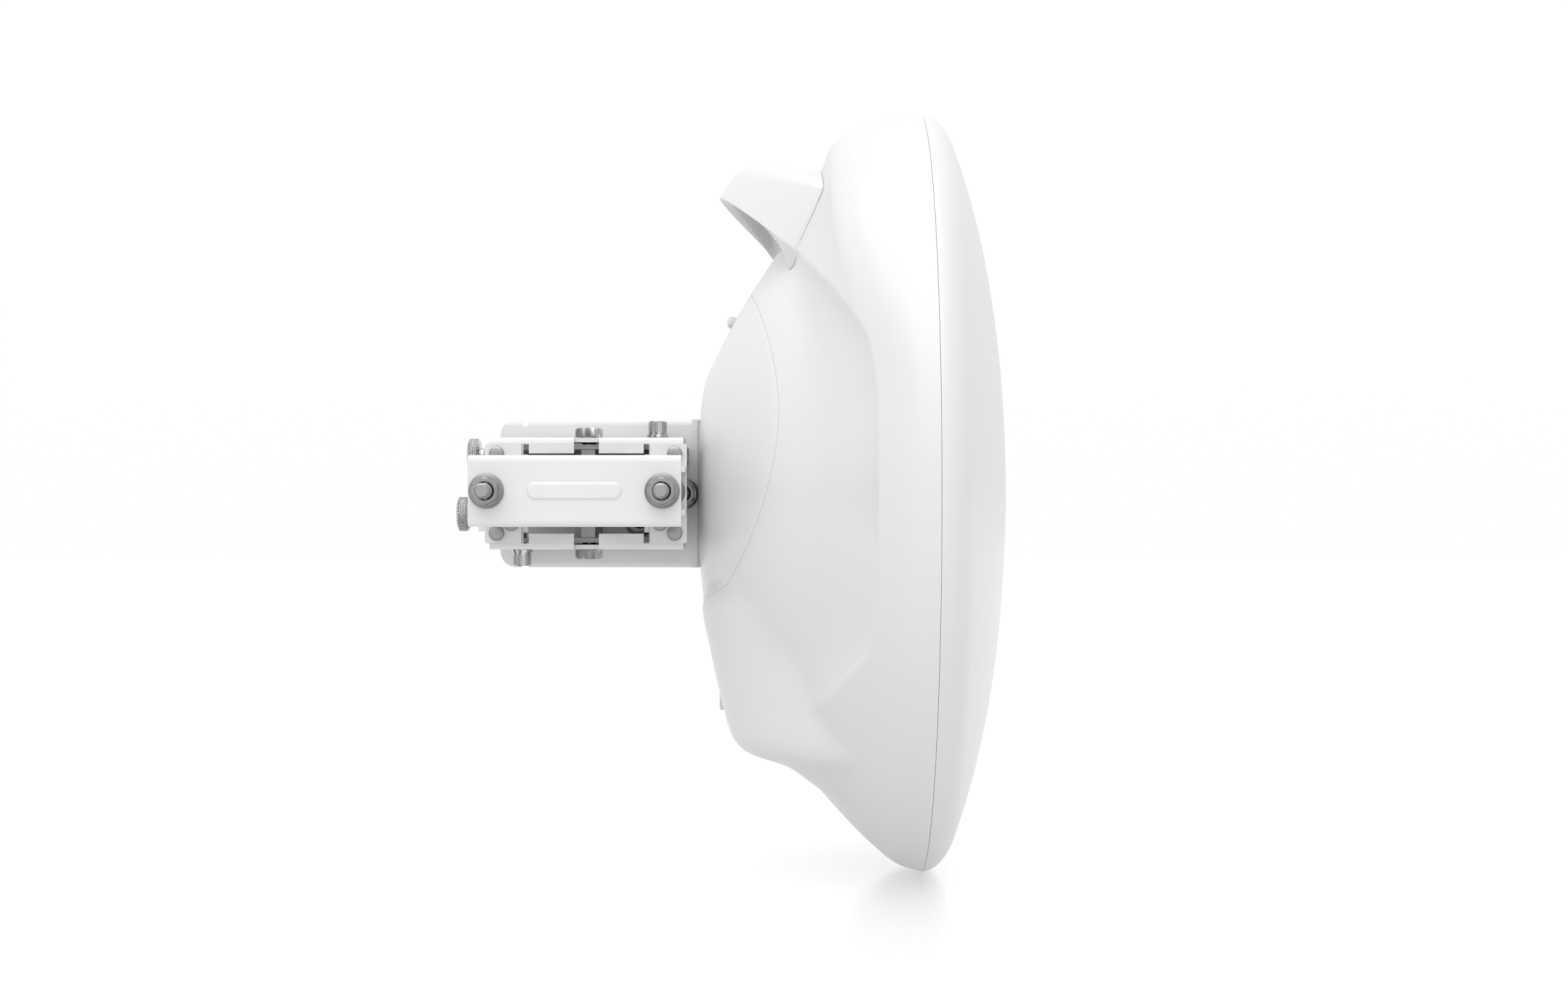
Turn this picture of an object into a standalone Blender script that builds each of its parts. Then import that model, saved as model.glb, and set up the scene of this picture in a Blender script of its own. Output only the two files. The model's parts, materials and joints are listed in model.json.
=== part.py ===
"""Outdoor wireless bridge: a dish radio on a two-axis sheet-metal bracket with a pole clamp.

The frame: +X is the direction the dish looks in, +Z is up, and the origin is on the pole's axis,
level with the dish's own axis. Numbers are millimetres, and MM turns them into Blender's metres.
"""
import math

import bmesh
import bpy
from mathutils import Matrix, Vector

MM = 0.001
GAP = 0.3  # clearance between pieces that touch or pass through each other

# ---------------------------------------------------------------- driving dimensions
DISH_Y = 105.5  # the dish's axis stands this far beside the pole's axis
RIM_X = 182.8  # plane of the seam between the radome and the back shell
RIM_RADIUS = 212.0
RADOME_RISE = 46.7  # from the seam to the tip of the radome
WALL = 2.6  # moulded wall of radome and shell
BACK_DEPTH = 122.9  # from the seam back to the flat that the bracket is screwed to

COVER_Z = 22.5  # the oval rear cover: centre height and half sizes
COVER_HALF_WIDTH = 130.0
COVER_HALF_HEIGHT = 89.5

CREASE_SINK = 9.0  # how far the shell drops inside the ridge on its flanks, and how quickly
CREASE_REACH = 14.0

HANDLE_HALF_WIDTH = 83.0
HANDLE_REACH = 113.0  # from the seam plane back to the tip of the handle
HANDLE_TIP_Z = 167.0

AROUND = 48  # points around the dish, and how far from the cover (0) to the rim (1) its rings lie
SHELL_STEPS = (0.0, 0.12, 0.24, 0.36, 0.45, 0.505, 0.53, 0.56, 0.61, 0.7, 0.8, 0.88, 0.94, 0.98, 1.0)
POD_HALF_WIDTH = 50.0
VENT_Z = 97.0
VENT_RADIUS = 3.4
LATCH_Z = -117.3
PORT_START = (RIM_X - 97.5, -140.6)  # the little door under the pod, from its rear edge to its hinge
PORT_END = (RIM_X - 79.0, -146.9)
PORT_HALF_WIDTH = 27.0

BRACKET_X = RIM_X - BACK_DEPTH  # the flat that the bracket is screwed to, and what lies in front of it
CHASSIS_X = BRACKET_X + WALL + 1.4
BOARD_X = CHASSIS_X + 8.0
SCREW_SPREAD_Y = 15.0
SCREW_SPREAD_Z = 32.0

CLAMP_BOLT_X = 44.8
CLAMP_BOLT_Z = 1.3
BAR_HALF_LENGTH = 54.4
OUTER_BAR_Y = -37.5
INNER_JAW_Y = 34.2
STUD_PLATE_Y = 34.5
PLATE = 3.0
SHEET = 2.5
PIVOT_Y = 57.5  # azimuth axis: vertical, at x = 0
CHANNEL_HALF_HEIGHT = 30.3
CARRIAGE_HALF_HEIGHT = 26.7
YOKE_HALF_HEIGHT = 41.4
CARRIAGE_WEB_Y = 81.1
YOKE_WEB_Y = 81.5
YOKE_CORNER = 9.0
TILT_X = 50.4  # elevation axis: along Y, at z = 0
SWING = math.radians(10.0)
SLOT_SPARE = math.radians(3.0)
LOCK_TOP_X = 37.6
LOCK_BOTTOM_X = -36.7
TILT_LOCK = (27.0, 14.6)
PIN_PLACES = [(x, z) for z in (-21.3, 21.3) for x in (-48.0, 48.0)]
RIVET_PLACES = [(-40.0, -16.3), (40.0, -16.3)]

M8 = 4.0
M6 = 3.0
NUT_FLANGE = 8.95
HEX_13 = 7.5  # half the width across corners of a 13 mm hexagon

AZIMUTH_SCREW_Y = 48.5
AZIMUTH_SCREW_Z = -11.2
TILT_SCREW_Y = 67.4
TILT_SCREW_Z = 21.0
KNOB_RADIUS = 9.3
KNOB_LENGTH = 7.0

COLOURS = {
    "white_plastic": ((0.86, 0.87, 0.88), 0.35, 0.0),
    "white_paint": ((0.84, 0.85, 0.86), 0.45, 0.0),
    "zinc": ((0.42, 0.43, 0.44), 0.4, 1.0),
    "bright_steel": ((0.68, 0.68, 0.69), 0.2, 1.0),
    "aluminium": ((0.75, 0.76, 0.77), 0.35, 1.0),
    "rubber": ((0.05, 0.05, 0.05), 0.8, 0.0),
    "board": ((0.03, 0.22, 0.10), 0.5, 0.0),
    "dielectric": ((0.80, 0.78, 0.70), 0.5, 0.0),
}


# ---------------------------------------------------------------- making objects
def clear_scene():
    for thing in list(bpy.data.objects):
        bpy.data.objects.remove(thing, do_unlink=True)


def material(name):
    found = bpy.data.materials.get(name)
    if found:
        return found
    colour, roughness, metallic = COLOURS[name]
    made = bpy.data.materials.new(name)
    made.use_nodes = True
    shader = made.node_tree.nodes["Principled BSDF"]
    shader.inputs["Base Color"].default_value = (*colour, 1.0)
    shader.inputs["Roughness"].default_value = roughness
    shader.inputs["Metallic"].default_value = metallic
    return made


def add_object(name, bm, finish, origin=(0.0, 0.0, 0.0), smooth_angle=32.0):
    """Turn a bmesh in millimetres into an object in metres whose own origin is at origin."""
    bmesh.ops.transform(bm, matrix=Matrix.Translation(-Vector(origin)), verts=bm.verts)
    bmesh.ops.scale(bm, vec=(MM, MM, MM), verts=bm.verts)
    bmesh.ops.recalc_face_normals(bm, faces=bm.faces)
    mesh = bpy.data.meshes.new(name)
    bm.to_mesh(mesh)
    bm.free()
    mesh.materials.append(material(finish))
    mesh.shade_smooth()
    mesh.set_sharp_from_angle(angle=math.radians(smooth_angle))
    thing = bpy.data.objects.new(name, mesh)
    thing.location = Vector(origin) * MM
    bpy.context.scene.collection.objects.link(thing)
    return thing


def hide_tool(tool):
    tool.hide_render = True
    tool.display_type = "WIRE"
    return tool


def combine(target, tool, operation="DIFFERENCE"):
    """Cut target with tool, or join tool to it."""
    step = target.modifiers.new(operation.title(), "BOOLEAN")
    step.operation = operation
    step.solver = "EXACT"
    step.object = hide_tool(tool)


def axes_for(axis):
    """Two directions across the given axis letter, and the axis itself, right-handed."""
    return {
        "X": (Vector((0, 1, 0)), Vector((0, 0, 1)), Vector((1, 0, 0))),
        "Y": (Vector((0, 0, 1)), Vector((1, 0, 0)), Vector((0, 1, 0))),
        "Z": (Vector((1, 0, 0)), Vector((0, 1, 0)), Vector((0, 0, 1))),
    }[axis]


def skin_rings(rings, ring_closed=False, sweep_closed=False):
    """Join rings of points: capped at both ends, or closed on itself when sweep_closed."""
    bm = bmesh.new()
    rows = [[bm.verts.new(point) for point in ring] for ring in rings]
    count = len(rows[0])
    spans = len(rows) if sweep_closed else len(rows) - 1
    for row in range(spans):
        here = rows[row]
        there = rows[(row + 1) % len(rows)]
        for i in range(count):
            j = (i + 1) % count
            bm.faces.new((here[i], here[j], there[j], there[i]))
    if not sweep_closed:
        bm.faces.new(rows[0])
        bm.faces.new(rows[-1])
    return bm


def round_radius(radius):
    return lambda angle: radius


def hex_radius(corner_radius):
    """Distance to the edge of a hexagon with the given corner radius."""
    flat = corner_radius * math.cos(math.pi / 6)
    return lambda angle: flat / math.cos((angle % (math.pi / 3)) - math.pi / 6)


def turned(name, axis, centre, stations, finish, segments=24, bore=False):
    """A piece made of rings along an axis.

    stations are (place along the axis, radius function or radius) from one end to the other. With
    bore the last station closes back on the first, which leaves a hole through the piece.
    """
    across, up, along = axes_for(axis)
    rings = []
    for place, reach in stations:
        shape = reach if callable(reach) else round_radius(reach)
        ring = []
        for i in range(segments):
            angle = 2 * math.pi * i / segments
            spread = across * math.cos(angle) + up * math.sin(angle)
            ring.append(Vector(centre) + along * place + spread * shape(angle))
        rings.append(ring)
    return add_object(name, skin_rings(rings, sweep_closed=bore), finish, origin=centre)


def prism(name, axis, outline, low, high, finish, origin=(0.0, 0.0, 0.0)):
    """Extrude an outline. Its points are (x, y) for axis Z, (x, z) for axis Y, (y, z) for axis X."""
    place = {
        "X": lambda a, b, t: Vector((t, a, b)),
        "Y": lambda a, b, t: Vector((a, t, b)),
        "Z": lambda a, b, t: Vector((a, b, t)),
    }[axis]
    rings = [[place(a, b, t) for a, b in outline] for t in (low, high)]
    return add_object(name, skin_rings(rings), finish, origin=origin)


def box(name, low, high, finish="white_paint"):
    outline = [(low[0], low[1]), (high[0], low[1]), (high[0], high[1]), (low[0], high[1])]
    return prism(name, "Z", outline, low[2], high[2], finish)


def arc(centre, radius, start, end, steps):
    """Points on an arc, angles in degrees."""
    points = []
    for i in range(steps + 1):
        angle = math.radians(start + (end - start) * i / steps)
        points.append((centre[0] + radius * math.cos(angle), centre[1] + radius * math.sin(angle)))
    return points


def rounded_rectangle(low, high, radius, steps=3):
    corners = (
        ((high[0] - radius, high[1] - radius), 0),
        ((low[0] + radius, high[1] - radius), 90),
        ((low[0] + radius, low[1] + radius), 180),
        ((high[0] - radius, low[1] + radius), 270),
    )
    outline = []
    for centre, start in corners:
        outline += arc(centre, radius, start, start + 90, steps)
    return outline


def cut_hole(target, axis, centre, radius, low, high, segments=16):
    x, y, z = centre
    middle = {"X": (y, z), "Y": (x, z), "Z": (x, y)}[axis]
    outline = arc(middle, radius, 0, 360 - 360 / segments, segments - 1)
    combine(target, prism("hole_tool", axis, outline, low, high, "zinc"))


def arc_slot_outline(centre, radius, middle, half_sweep, half_width):
    """Outline of a slot that follows an arc, angles in degrees."""
    start = middle - half_sweep
    end = middle + half_sweep
    first = arc(centre, radius, start, start, 1)[0]
    last = arc(centre, radius, end, end, 1)[0]
    outline = arc(centre, radius + half_width, start, end, 6)
    outline += arc(last, half_width, end + 30, end + 150, 4)
    outline += arc(centre, radius - half_width, end, start, 6)
    outline += arc(first, half_width, start + 210, start + 330, 4)
    return outline


# ---------------------------------------------------------------- the back shell's surface
def curve_through(points):
    """A smooth curve through hand-picked points that never overshoots between them."""
    xs = [point[0] for point in points]
    ys = [point[1] for point in points]
    slopes = [(ys[i + 1] - ys[i]) / (xs[i + 1] - xs[i]) for i in range(len(xs) - 1)]
    tangents = [slopes[0]]
    for before, after in zip(slopes, slopes[1:]):
        same_way = before * after > 0
        tangents.append(2 * before * after / (before + after) if same_way else 0.0)
    tangents.append(slopes[-1])

    def value(x):
        if x <= xs[0]:
            return ys[0] + (x - xs[0]) * tangents[0]
        if x >= xs[-1]:
            return ys[-1] + (x - xs[-1]) * tangents[-1]
        i = max(k for k in range(len(xs) - 1) if xs[k] <= x)
        width = xs[i + 1] - xs[i]
        t = (x - xs[i]) / width
        rise = (2 * t**3 - 3 * t**2 + 1) * ys[i] + (3 * t**2 - 2 * t**3) * ys[i + 1]
        lean = (t**3 - 2 * t**2 + t) * tangents[i] + (t**3 - t**2) * tangents[i + 1]
        return rise + lean * width

    return value


# Distance behind the seam plane (negative) against distance from the dish's axis.
BOWL = curve_through(
    ((40.0, -108.0), (100.0, -92.0), (130.0, -80.5), (153.6, -66.4), (180.4, -43.6), (197.9, -25.9),
     (208.2, -12.4), (212.0, 0.0))
)
CROWN = curve_through(
    ((100.0, -90.0), (128.7, -82.0), (179.5, -56.3), (187.0, -53.2), (193.5, -50.6), (202.8, -40.4), (209.0, -23.3),
     (212.0, 0.0))
)
DOME = curve_through(
    ((0.0, -BACK_DEPTH), (44.0, -BACK_DEPTH), (61.0, -120.8), (81.0, -112.2), (100.4, -102.0), (128.7, -83.4),
     (150.0, -61.5), (175.0, -31.0), (212.0, 20.0))
)
# The ridge on the flanks: distance from the axis against degrees above the horizontal.
CREASE = curve_through(
    ((-90.0, 128.0), (-53.0, 150.5), (-45.0, 159.5), (-37.0, 171.0), (-30.0, 182.0), (-25.5, 189.5), (-21.0, 193.5),
     (-14.0, 194.5), (15.0, 194.5), (23.0, 195.0), (27.5, 191.5), (33.0, 184.5), (40.0, 174.5), (46.5, 165.5),
     (56.0, 155.5), (66.0, 148.0), (90.0, 142.0))
)
# The same depth against height, down the middle of the cable pod.
POD = curve_through(
    ((-220.0, 20.0), (-156.0, -64.0), (-148.5, -75.0), (-144.8, -86.0), (-142.5, -93.0), (-139.5, -98.8),
     (-131.0, -105.1), (-112.0, -110.5), (-81.4, -117.3), (-66.2, -120.4), (-40.0, -122.6))
)


def ramp(low, high, value):
    t = min(1.0, max(0.0, (value - low) / (high - low)))
    return t * t * (3 - 2 * t)


def smooth_min(a, b, reach):
    share = min(1.0, max(0.0, 0.5 + 0.5 * (b - a) / reach))
    return b + (a - b) * share - reach * share * (1 - share)


def back_depth(y, z):
    """Depth of the shell's outer surface behind the seam plane, at y across and z above the dish's axis."""
    radius = math.hypot(y, z)
    crown_share = ramp(0.2, 0.8, z / max(radius, 1.0))
    bowl = BOWL(radius) * (1 - crown_share) + CROWN(radius) * crown_share
    inside = CREASE(math.degrees(math.atan2(z, abs(y)))) - radius
    fade = ramp(25.0, 70.0, abs(y)) if z > 0 else ramp(70.0, 150.0, abs(y))
    sink = CREASE_SINK * (1 - math.exp(-max(0.0, inside) / CREASE_REACH)) * fade
    surface = smooth_min(bowl + sink, DOME(radius), 5.0)
    pod = POD(z) + 0.012 * max(0.0, abs(y) - POD_HALF_WIDTH) ** 2 + 0.02 * max(0.0, z + 66.0) ** 2
    return min(0.0, smooth_min(surface, pod, 4.0))


def surface_point(y, z, inset=0.0):
    """A point on the shell's outer surface, or inset below it, in the row's frame."""
    step = 0.5
    slope_y = (back_depth(y + step, z) - back_depth(y - step, z)) / (2 * step)
    slope_z = (back_depth(y, z + step) - back_depth(y, z - step)) / (2 * step)
    inward = Vector((1.0, -slope_y, -slope_z)).normalized()
    point = Vector((back_depth(y, z), y, z)) + inward * inset
    return point + Vector((RIM_X, DISH_Y, 0.0))


def cover_edge(angle, spare=0.0):
    return (
        (COVER_HALF_WIDTH + spare) * math.cos(angle),
        COVER_Z + (COVER_HALF_HEIGHT + spare) * math.sin(angle),
    )


# ---------------------------------------------------------------- the dish
def shell_point(share, angle, inset):
    """From the rear cover's edge (share 0) out to the rim (share 1)."""
    inner = cover_edge(angle, spare=0.5)
    if share == 1.0:
        reach = RIM_RADIUS - inset
        return Vector((RIM_X - GAP, DISH_Y + reach * math.cos(angle), reach * math.sin(angle)))
    y = inner[0] * (1 - share) + RIM_RADIUS * math.cos(angle) * share
    z = inner[1] * (1 - share) + RIM_RADIUS * math.sin(angle) * share
    return surface_point(y, z, inset)


def make_back_shell():
    rings = []
    for inset, steps in ((0.0, SHELL_STEPS), (WALL, reversed(SHELL_STEPS))):
        for share in steps:
            rings.append([shell_point(share, 2 * math.pi * i / AROUND, inset) for i in range(AROUND)])
    shell = add_object("back_shell", skin_rings(rings, sweep_closed=True), "white_plastic", smooth_angle=40)
    combine(shell, port_slab("port_opening_tool", spare=0.5, low=-6.0, high=6.0))
    combine(shell, box("latch_opening_tool", *latch_limits(spare=0.5, depth=9.0)))
    return shell


def make_rear_cover():
    """The oval panel that closes the middle of the shell and carries the bracket."""
    def sheet(inset):
        rings = []
        for share in (0.12, 0.4, 0.7, 0.9, 1.0):
            ring = []
            for i in range(AROUND):
                y, z = cover_edge(2 * math.pi * i / AROUND)
                ring.append(surface_point(y * share, COVER_Z + (z - COVER_Z) * share, inset))
            rings.append(ring)
        return rings

    rings = sheet(0.0) + list(reversed(sheet(WALL)))
    cover = add_object("rear_cover", skin_rings(rings), "white_plastic", smooth_angle=40)
    for y, z in screw_places():
        cut_hole(cover, "X", (0, y, z), M6 + 0.5, BRACKET_X - 8, BRACKET_X + 12, 12)
    cut_hole(cover, "X", (0, DISH_Y, VENT_Z), VENT_RADIUS + 0.4, BRACKET_X, BRACKET_X + 45, 16)


def radome_outline():
    """The radome's outer outline as (x, radius), from near the tip to the seam."""
    shoulder = 197.0
    outline = []
    for i in range(6):
        radius = 10.0 + (shoulder - 10.0) * i / 5
        outline.append((RADOME_RISE - 6.0e-4 * radius**2 - 4.75e-9 * radius**4, radius))
    start = Vector(outline[-1])
    pull = Vector((start.x - 2.9, 204.6))
    settle = Vector((7.5, RIM_RADIUS))
    end = Vector((0.0, RIM_RADIUS))
    for i in range(1, 5):
        t = i / 4
        s = 1 - t
        outline.append(tuple(start * s**3 + pull * (3 * s * s * t) + settle * (3 * s * t * t) + end * t**3))
    return outline


def make_radome():
    outer = radome_outline()
    inner = [(x - WALL, radius - WALL * (radius / RIM_RADIUS) ** 6) for x, radius in outer[:-1]]
    inner.append((0.0, RIM_RADIUS - WALL))
    stations = outer + list(reversed(inner))
    turned("radome", "X", (RIM_X, DISH_Y, 0), stations, "white_plastic", segments=AROUND)


def make_rim_gasket():
    inner = RIM_RADIUS - WALL - 5.0
    outer = RIM_RADIUS - WALL - 1.4
    stations = ((-1.0, inner), (-1.0, outer), (1.5, outer), (1.5, inner))
    turned("rim_gasket", "X", (RIM_X, DISH_Y, 0), stations, "rubber", segments=32, bore=True)


def make_reflector():
    """A parabola of revolution, open at the middle for the feed."""
    focal = 112.0
    vertex = RIM_X - 97.0
    radii = (16.0, 60.0, 110.0, 150.0, 180.0, 203.0)
    front = [(radius**2 / (4 * focal), radius) for radius in radii]
    back = [(x - 1.5, radius) for x, radius in reversed(front)]
    turned("reflector", "X", (vertex, DISH_Y, 0), front + back, "aluminium", segments=32, bore=True)


def make_feed():
    """Waveguide, dielectric cone and the small reflector in front of the dish."""
    start = RIM_X - 104.0
    tube = ((0, 9.0), (84, 9.0), (84, 7.5), (0, 7.5))
    turned("feed_tube", "X", (start, DISH_Y, 0), tube, "aluminium", segments=24, bore=True)
    cone = ((-4.0, 6.9), (84.4, 6.9), (84.4, 9.5), (98, 20.0))
    turned("feed_cone", "X", (start, DISH_Y, 0), cone, "dielectric", segments=24)
    plate = ((98.4, 21.5), (101, 21.5), (103, 14.0))
    turned("sub_reflector", "X", (start, DISH_Y, 0), plate, "aluminium", segments=24)


# ---------------------------------------------------------------- electronics behind the reflector
def screw_places():
    return [(DISH_Y + side * SCREW_SPREAD_Y, level * SCREW_SPREAD_Z) for side in (-1, 1) for level in (-1, 1)]


def make_electronics():
    chassis = box("heat_spreader", (CHASSIS_X, DISH_Y - 34, -39), (CHASSIS_X + 7.2, DISH_Y + 34, 39), "aluminium")
    for y, z in screw_places():
        cut_hole(chassis, "X", (0, y, z), M6 + 0.3, CHASSIS_X - 2, CHASSIS_X + 10, 12)
    middle = DISH_Y
    box("main_board", (BOARD_X, middle - 44, -62), (BOARD_X + 1.6, middle + 44, 46), "board")
    front = BOARD_X + 1.9
    module = box("radio_module", (front, middle - 28, -28), (front + 7.0, middle + 28, 28), "zinc")
    cut_hole(module, "X", (0, middle, 0), 9.5, front - 2, front + 12, 16)
    make_socket("ethernet_jack", (front, middle - 22, -68), (front + 13.5, middle - 6, -47), "bright_steel")
    make_socket("fibre_cage", (front, middle + 4, -68), (front + 9.5, middle + 18, -30), "bright_steel")
    box("position_antenna", (BOARD_X + 8, middle - 12, 58), (BOARD_X + 12, middle + 12, 82), "dielectric")


def make_socket(name, low, high, finish):
    """A metal shell with its mouth facing down."""
    socket = box(name, low, high, finish)
    wall = 1.2
    tool = box("socket_tool", (low[0] + wall, low[1] + wall, low[2] - 5), (high[0] - wall, high[1] - wall, high[2] - 4))
    combine(socket, tool)


# ---------------------------------------------------------------- fittings on the shell
def make_vent():
    root = surface_point(0, VENT_Z, WALL).x
    stations = ((-6.6, 1.6), (-6.1, 2.8), (-5.0, VENT_RADIUS), (2.0, VENT_RADIUS))
    turned("vent_plug", "X", (root, DISH_Y, VENT_Z), stations, "white_plastic", segments=20)


def port_slab(name, spare=0.0, low=-1.3, high=1.3, finish="white_plastic"):
    """The little door under the pod: a slab that leans with the pod's underside."""
    start = Vector(PORT_START)
    end = Vector(PORT_END)
    length = (end - start).length
    along = (end - start) / length
    across = Vector((-along.y, along.x))
    corners = []
    for reach, side in ((-spare, low), (-spare, high), (length + spare, high), (length + spare, low)):
        corners.append(tuple(start + along * reach + across * (side + 1.2)))
    half = PORT_HALF_WIDTH + spare
    hinge = (PORT_END[0], DISH_Y, PORT_END[1] - 0.1)
    return prism(name, "Y", corners, DISH_Y - half, DISH_Y + half, finish, origin=hinge)


def latch_limits(spare=0.0, depth=3.2):
    surface = surface_point(0, LATCH_Z).x
    half = 9.0 + spare
    low = (surface - 3.4 - spare, DISH_Y - half, LATCH_Z - 4.9 - spare)
    lift = 3.0 if spare else 0.0
    high = (surface + depth, DISH_Y + half, LATCH_Z + 4.9 + spare + lift)
    return low, high


def make_port():
    port_slab("port_cover")
    box("port_latch", *latch_limits(), "white_plastic")
    seal = box("cable_seal", (RIM_X - 96, DISH_Y - 24, -134), (RIM_X - 82, DISH_Y + 24, -126), "rubber")
    cut_hole(seal, "Z", (RIM_X - 89, DISH_Y - 12, 0), 4.0, -140, -120, 16)
    cut_hole(seal, "Z", (RIM_X - 89, DISH_Y + 12, 0), 3.0, -140, -120, 16)


def handle_section(t):
    """Corners of the handle's band at t from -1 to 1 across it, clear of the shell behind."""
    y = HANDLE_HALF_WIDTH * t
    clearance = 1.9
    bend = abs(t) ** 1.75

    def on_shell(z):
        return Vector((surface_point(y, z).x - clearance, DISH_Y + y, z))

    tip = Vector((RIM_X - HANDLE_REACH + 42.2 * bend, DISH_Y + y, HANDLE_TIP_Z - 36.4 * bend))
    crest = tip + Vector((12.4 + 2.0 * bend, 0.0, 17.8 + 14.7 * bend))
    seam = on_shell(math.sqrt((180.0 + 3.6 * abs(t)) ** 2 - y * y))
    crest.x = min(crest.x, seam.x - 0.6)
    root = on_shell(160.0 - 40.0 * min(1.0, (t / 0.87) ** 2) + 6.0 * ramp(0.87, 1.0, abs(t)))
    tip.x = min(tip.x, root.x - 1.2)
    middle = (crest + seam) / 2 + Vector((0.0, 0.0, 1.6 * (1 - bend)))
    points = [tip, crest, middle, seam]
    for share in (0.25, 0.5, 0.75, 1.0):
        points.append(on_shell(seam.z + (root.z - seam.z) * share))
    hollow = 1.0 - ramp(0.55, 0.9, abs(t))
    for share, forward, up in ((0.8, 0.0, 7.0), (0.35, 4.0, 9.0), (0.15, 2.0, 1.0)):
        points.append(tip.lerp(root, share) + Vector((forward, 0.0, up)) * hollow)
    return points


def make_handle():
    count = 24
    rings = [handle_section(-1 + 2 * i / count) for i in range(count + 1)]
    add_object("carry_handle", skin_rings(rings), "white_plastic", smooth_angle=40)


# ---------------------------------------------------------------- fasteners
def flange_nut(name, axis, centre, facing, bore, finish="zinc"):
    """A nut whose flange rests at centre; facing is 1 or -1 along the axis."""
    stations = [
        (0.0, NUT_FLANGE), (1.2, NUT_FLANGE), (2.6, 7.6), (2.6, hex_radius(HEX_13)), (7.4, hex_radius(HEX_13)),
        (8.0, 6.2), (8.0, bore + GAP), (0.0, bore + GAP),
    ]
    turned(name, axis, centre, [(facing * place, reach) for place, reach in stations], finish, 12, bore=True)


def hex_bolt(name, axis, seat, facing, reach, radius=M8, head=5.3, finish="zinc", corner=HEX_13, segments=12):
    """A bolt whose head rests on seat and rises towards facing; the shank runs the other way."""
    shape = hex_radius(corner)
    stations = ((head, corner * 0.84), (head - 0.7, shape), (0.0, shape), (0.0, radius), (-reach + 0.8, radius),
                (-reach, radius - 0.8))
    turned(name, axis, seat, [(facing * place, r) for place, r in stations], finish, segments)


def make_clamp_hardware():
    for number, side in enumerate((-1, 1), 1):
        x = side * CLAMP_BOLT_X
        head_seat = STUD_PLATE_Y + PLATE + GAP
        hex_bolt(f"clamp_bolt_{number}", "Y", (x, head_seat, CLAMP_BOLT_Z), 1, head_seat + 58.5)
        flange_nut(f"outer_nut_{number}", "Y", (x, OUTER_BAR_Y - GAP, CLAMP_BOLT_Z), -1, M8)
        flange_nut(f"inner_nut_{number}", "Y", (x, INNER_JAW_Y - PLATE - GAP, CLAMP_BOLT_Z), -1, M8)


def rivet(name, x, z, head_radius):
    """Head on the stud plate, tail behind the channel's web."""
    near = STUD_PLATE_Y - GAP
    far = STUD_PLATE_Y + PLATE + GAP + SHEET + GAP
    stations = ((near - 2.3, head_radius - 0.5), (near - 1.8, head_radius), (near, head_radius), (near, 2.4),
                (far, 2.4), (far, 3.4), (far + 1.4, 3.0))
    turned(name, "Y", (x, 0, z), stations, "zinc", segments=12)


# ---------------------------------------------------------------- sheet-metal bracket
def channel_outline(back, tip, half_height, thickness, middle=0.0):
    """Section of a U-channel as (y, z): web at back, flanges reaching to tip."""
    way = 1 if tip > back else -1
    bend = 3.0
    inner_bend = bend - thickness if bend > thickness else 0.4
    half = half_height
    outer = []
    inner = []
    for i in range(4):
        c = math.cos(math.radians(30 * i))
        s = math.sin(math.radians(30 * i))
        outer.append((back + way * bend * (1 - s), middle + half - bend * (1 - c)))
        inner_z = middle + half - thickness - inner_bend * (1 - c)
        inner.append((back + way * (thickness + inner_bend * (1 - s)), inner_z))
    upper_outer = [(tip, middle + half)] + outer
    lower_outer = [(y, 2 * middle - z) for y, z in reversed(upper_outer)]
    lower_inner = [(tip, middle - half + thickness)] + [(y, 2 * middle - z) for y, z in inner]
    upper_inner = [(y, 2 * middle - z) for y, z in reversed(lower_inner)]
    return upper_outer + lower_outer + lower_inner + upper_inner


def make_jaw(name, back, tip, half_height, notch_y, notch_tip):
    """A clamp jaw: a channel whose flanges are notched to a V that centres the pole."""
    outline = channel_outline(back, tip, half_height, PLATE, middle=CLAMP_BOLT_Z)
    jaw = prism(name, "X", outline, -BAR_HALF_LENGTH, BAR_HALF_LENGTH, "white_paint")
    spread = abs(notch_tip - notch_y) * math.tan(math.radians(60))
    notch = [(0.0, notch_y), (spread, notch_tip), (-spread, notch_tip)]
    combine(jaw, prism("notch_tool", "Z", notch, -60, 60, "zinc"))
    for side in (-1, 1):
        low = min(back, tip) - 5
        cut_hole(jaw, "Y", (side * CLAMP_BOLT_X, 0, CLAMP_BOLT_Z), M8 + 0.4, low, low + 30)


def make_stud_plate():
    half = BAR_HALF_LENGTH
    plate = prism("stud_plate", "Y", rounded_rectangle((-half, -26.9), (half, 26.9), 1.5), STUD_PLATE_Y,
                  STUD_PLATE_Y + PLATE, "white_paint")
    for low, high in ((14.8, 40.0), (-40.0, -12.2)):
        outline = rounded_rectangle((-34.7, low), (34.7, high), 3.0)
        combine(plate, prism("gap_tool", "Y", outline, STUD_PLATE_Y - 5, STUD_PLATE_Y + 8, "zinc"))
    for side in (-1, 1):
        cut_hole(plate, "Y", (side * CLAMP_BOLT_X, 0, CLAMP_BOLT_Z), M8 + 0.4, 20, 50)
    for x, z in PIN_PLACES + RIVET_PLACES:
        cut_hole(plate, "Y", (x, 0, z), 2.8, 20, 50, 12)


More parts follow.
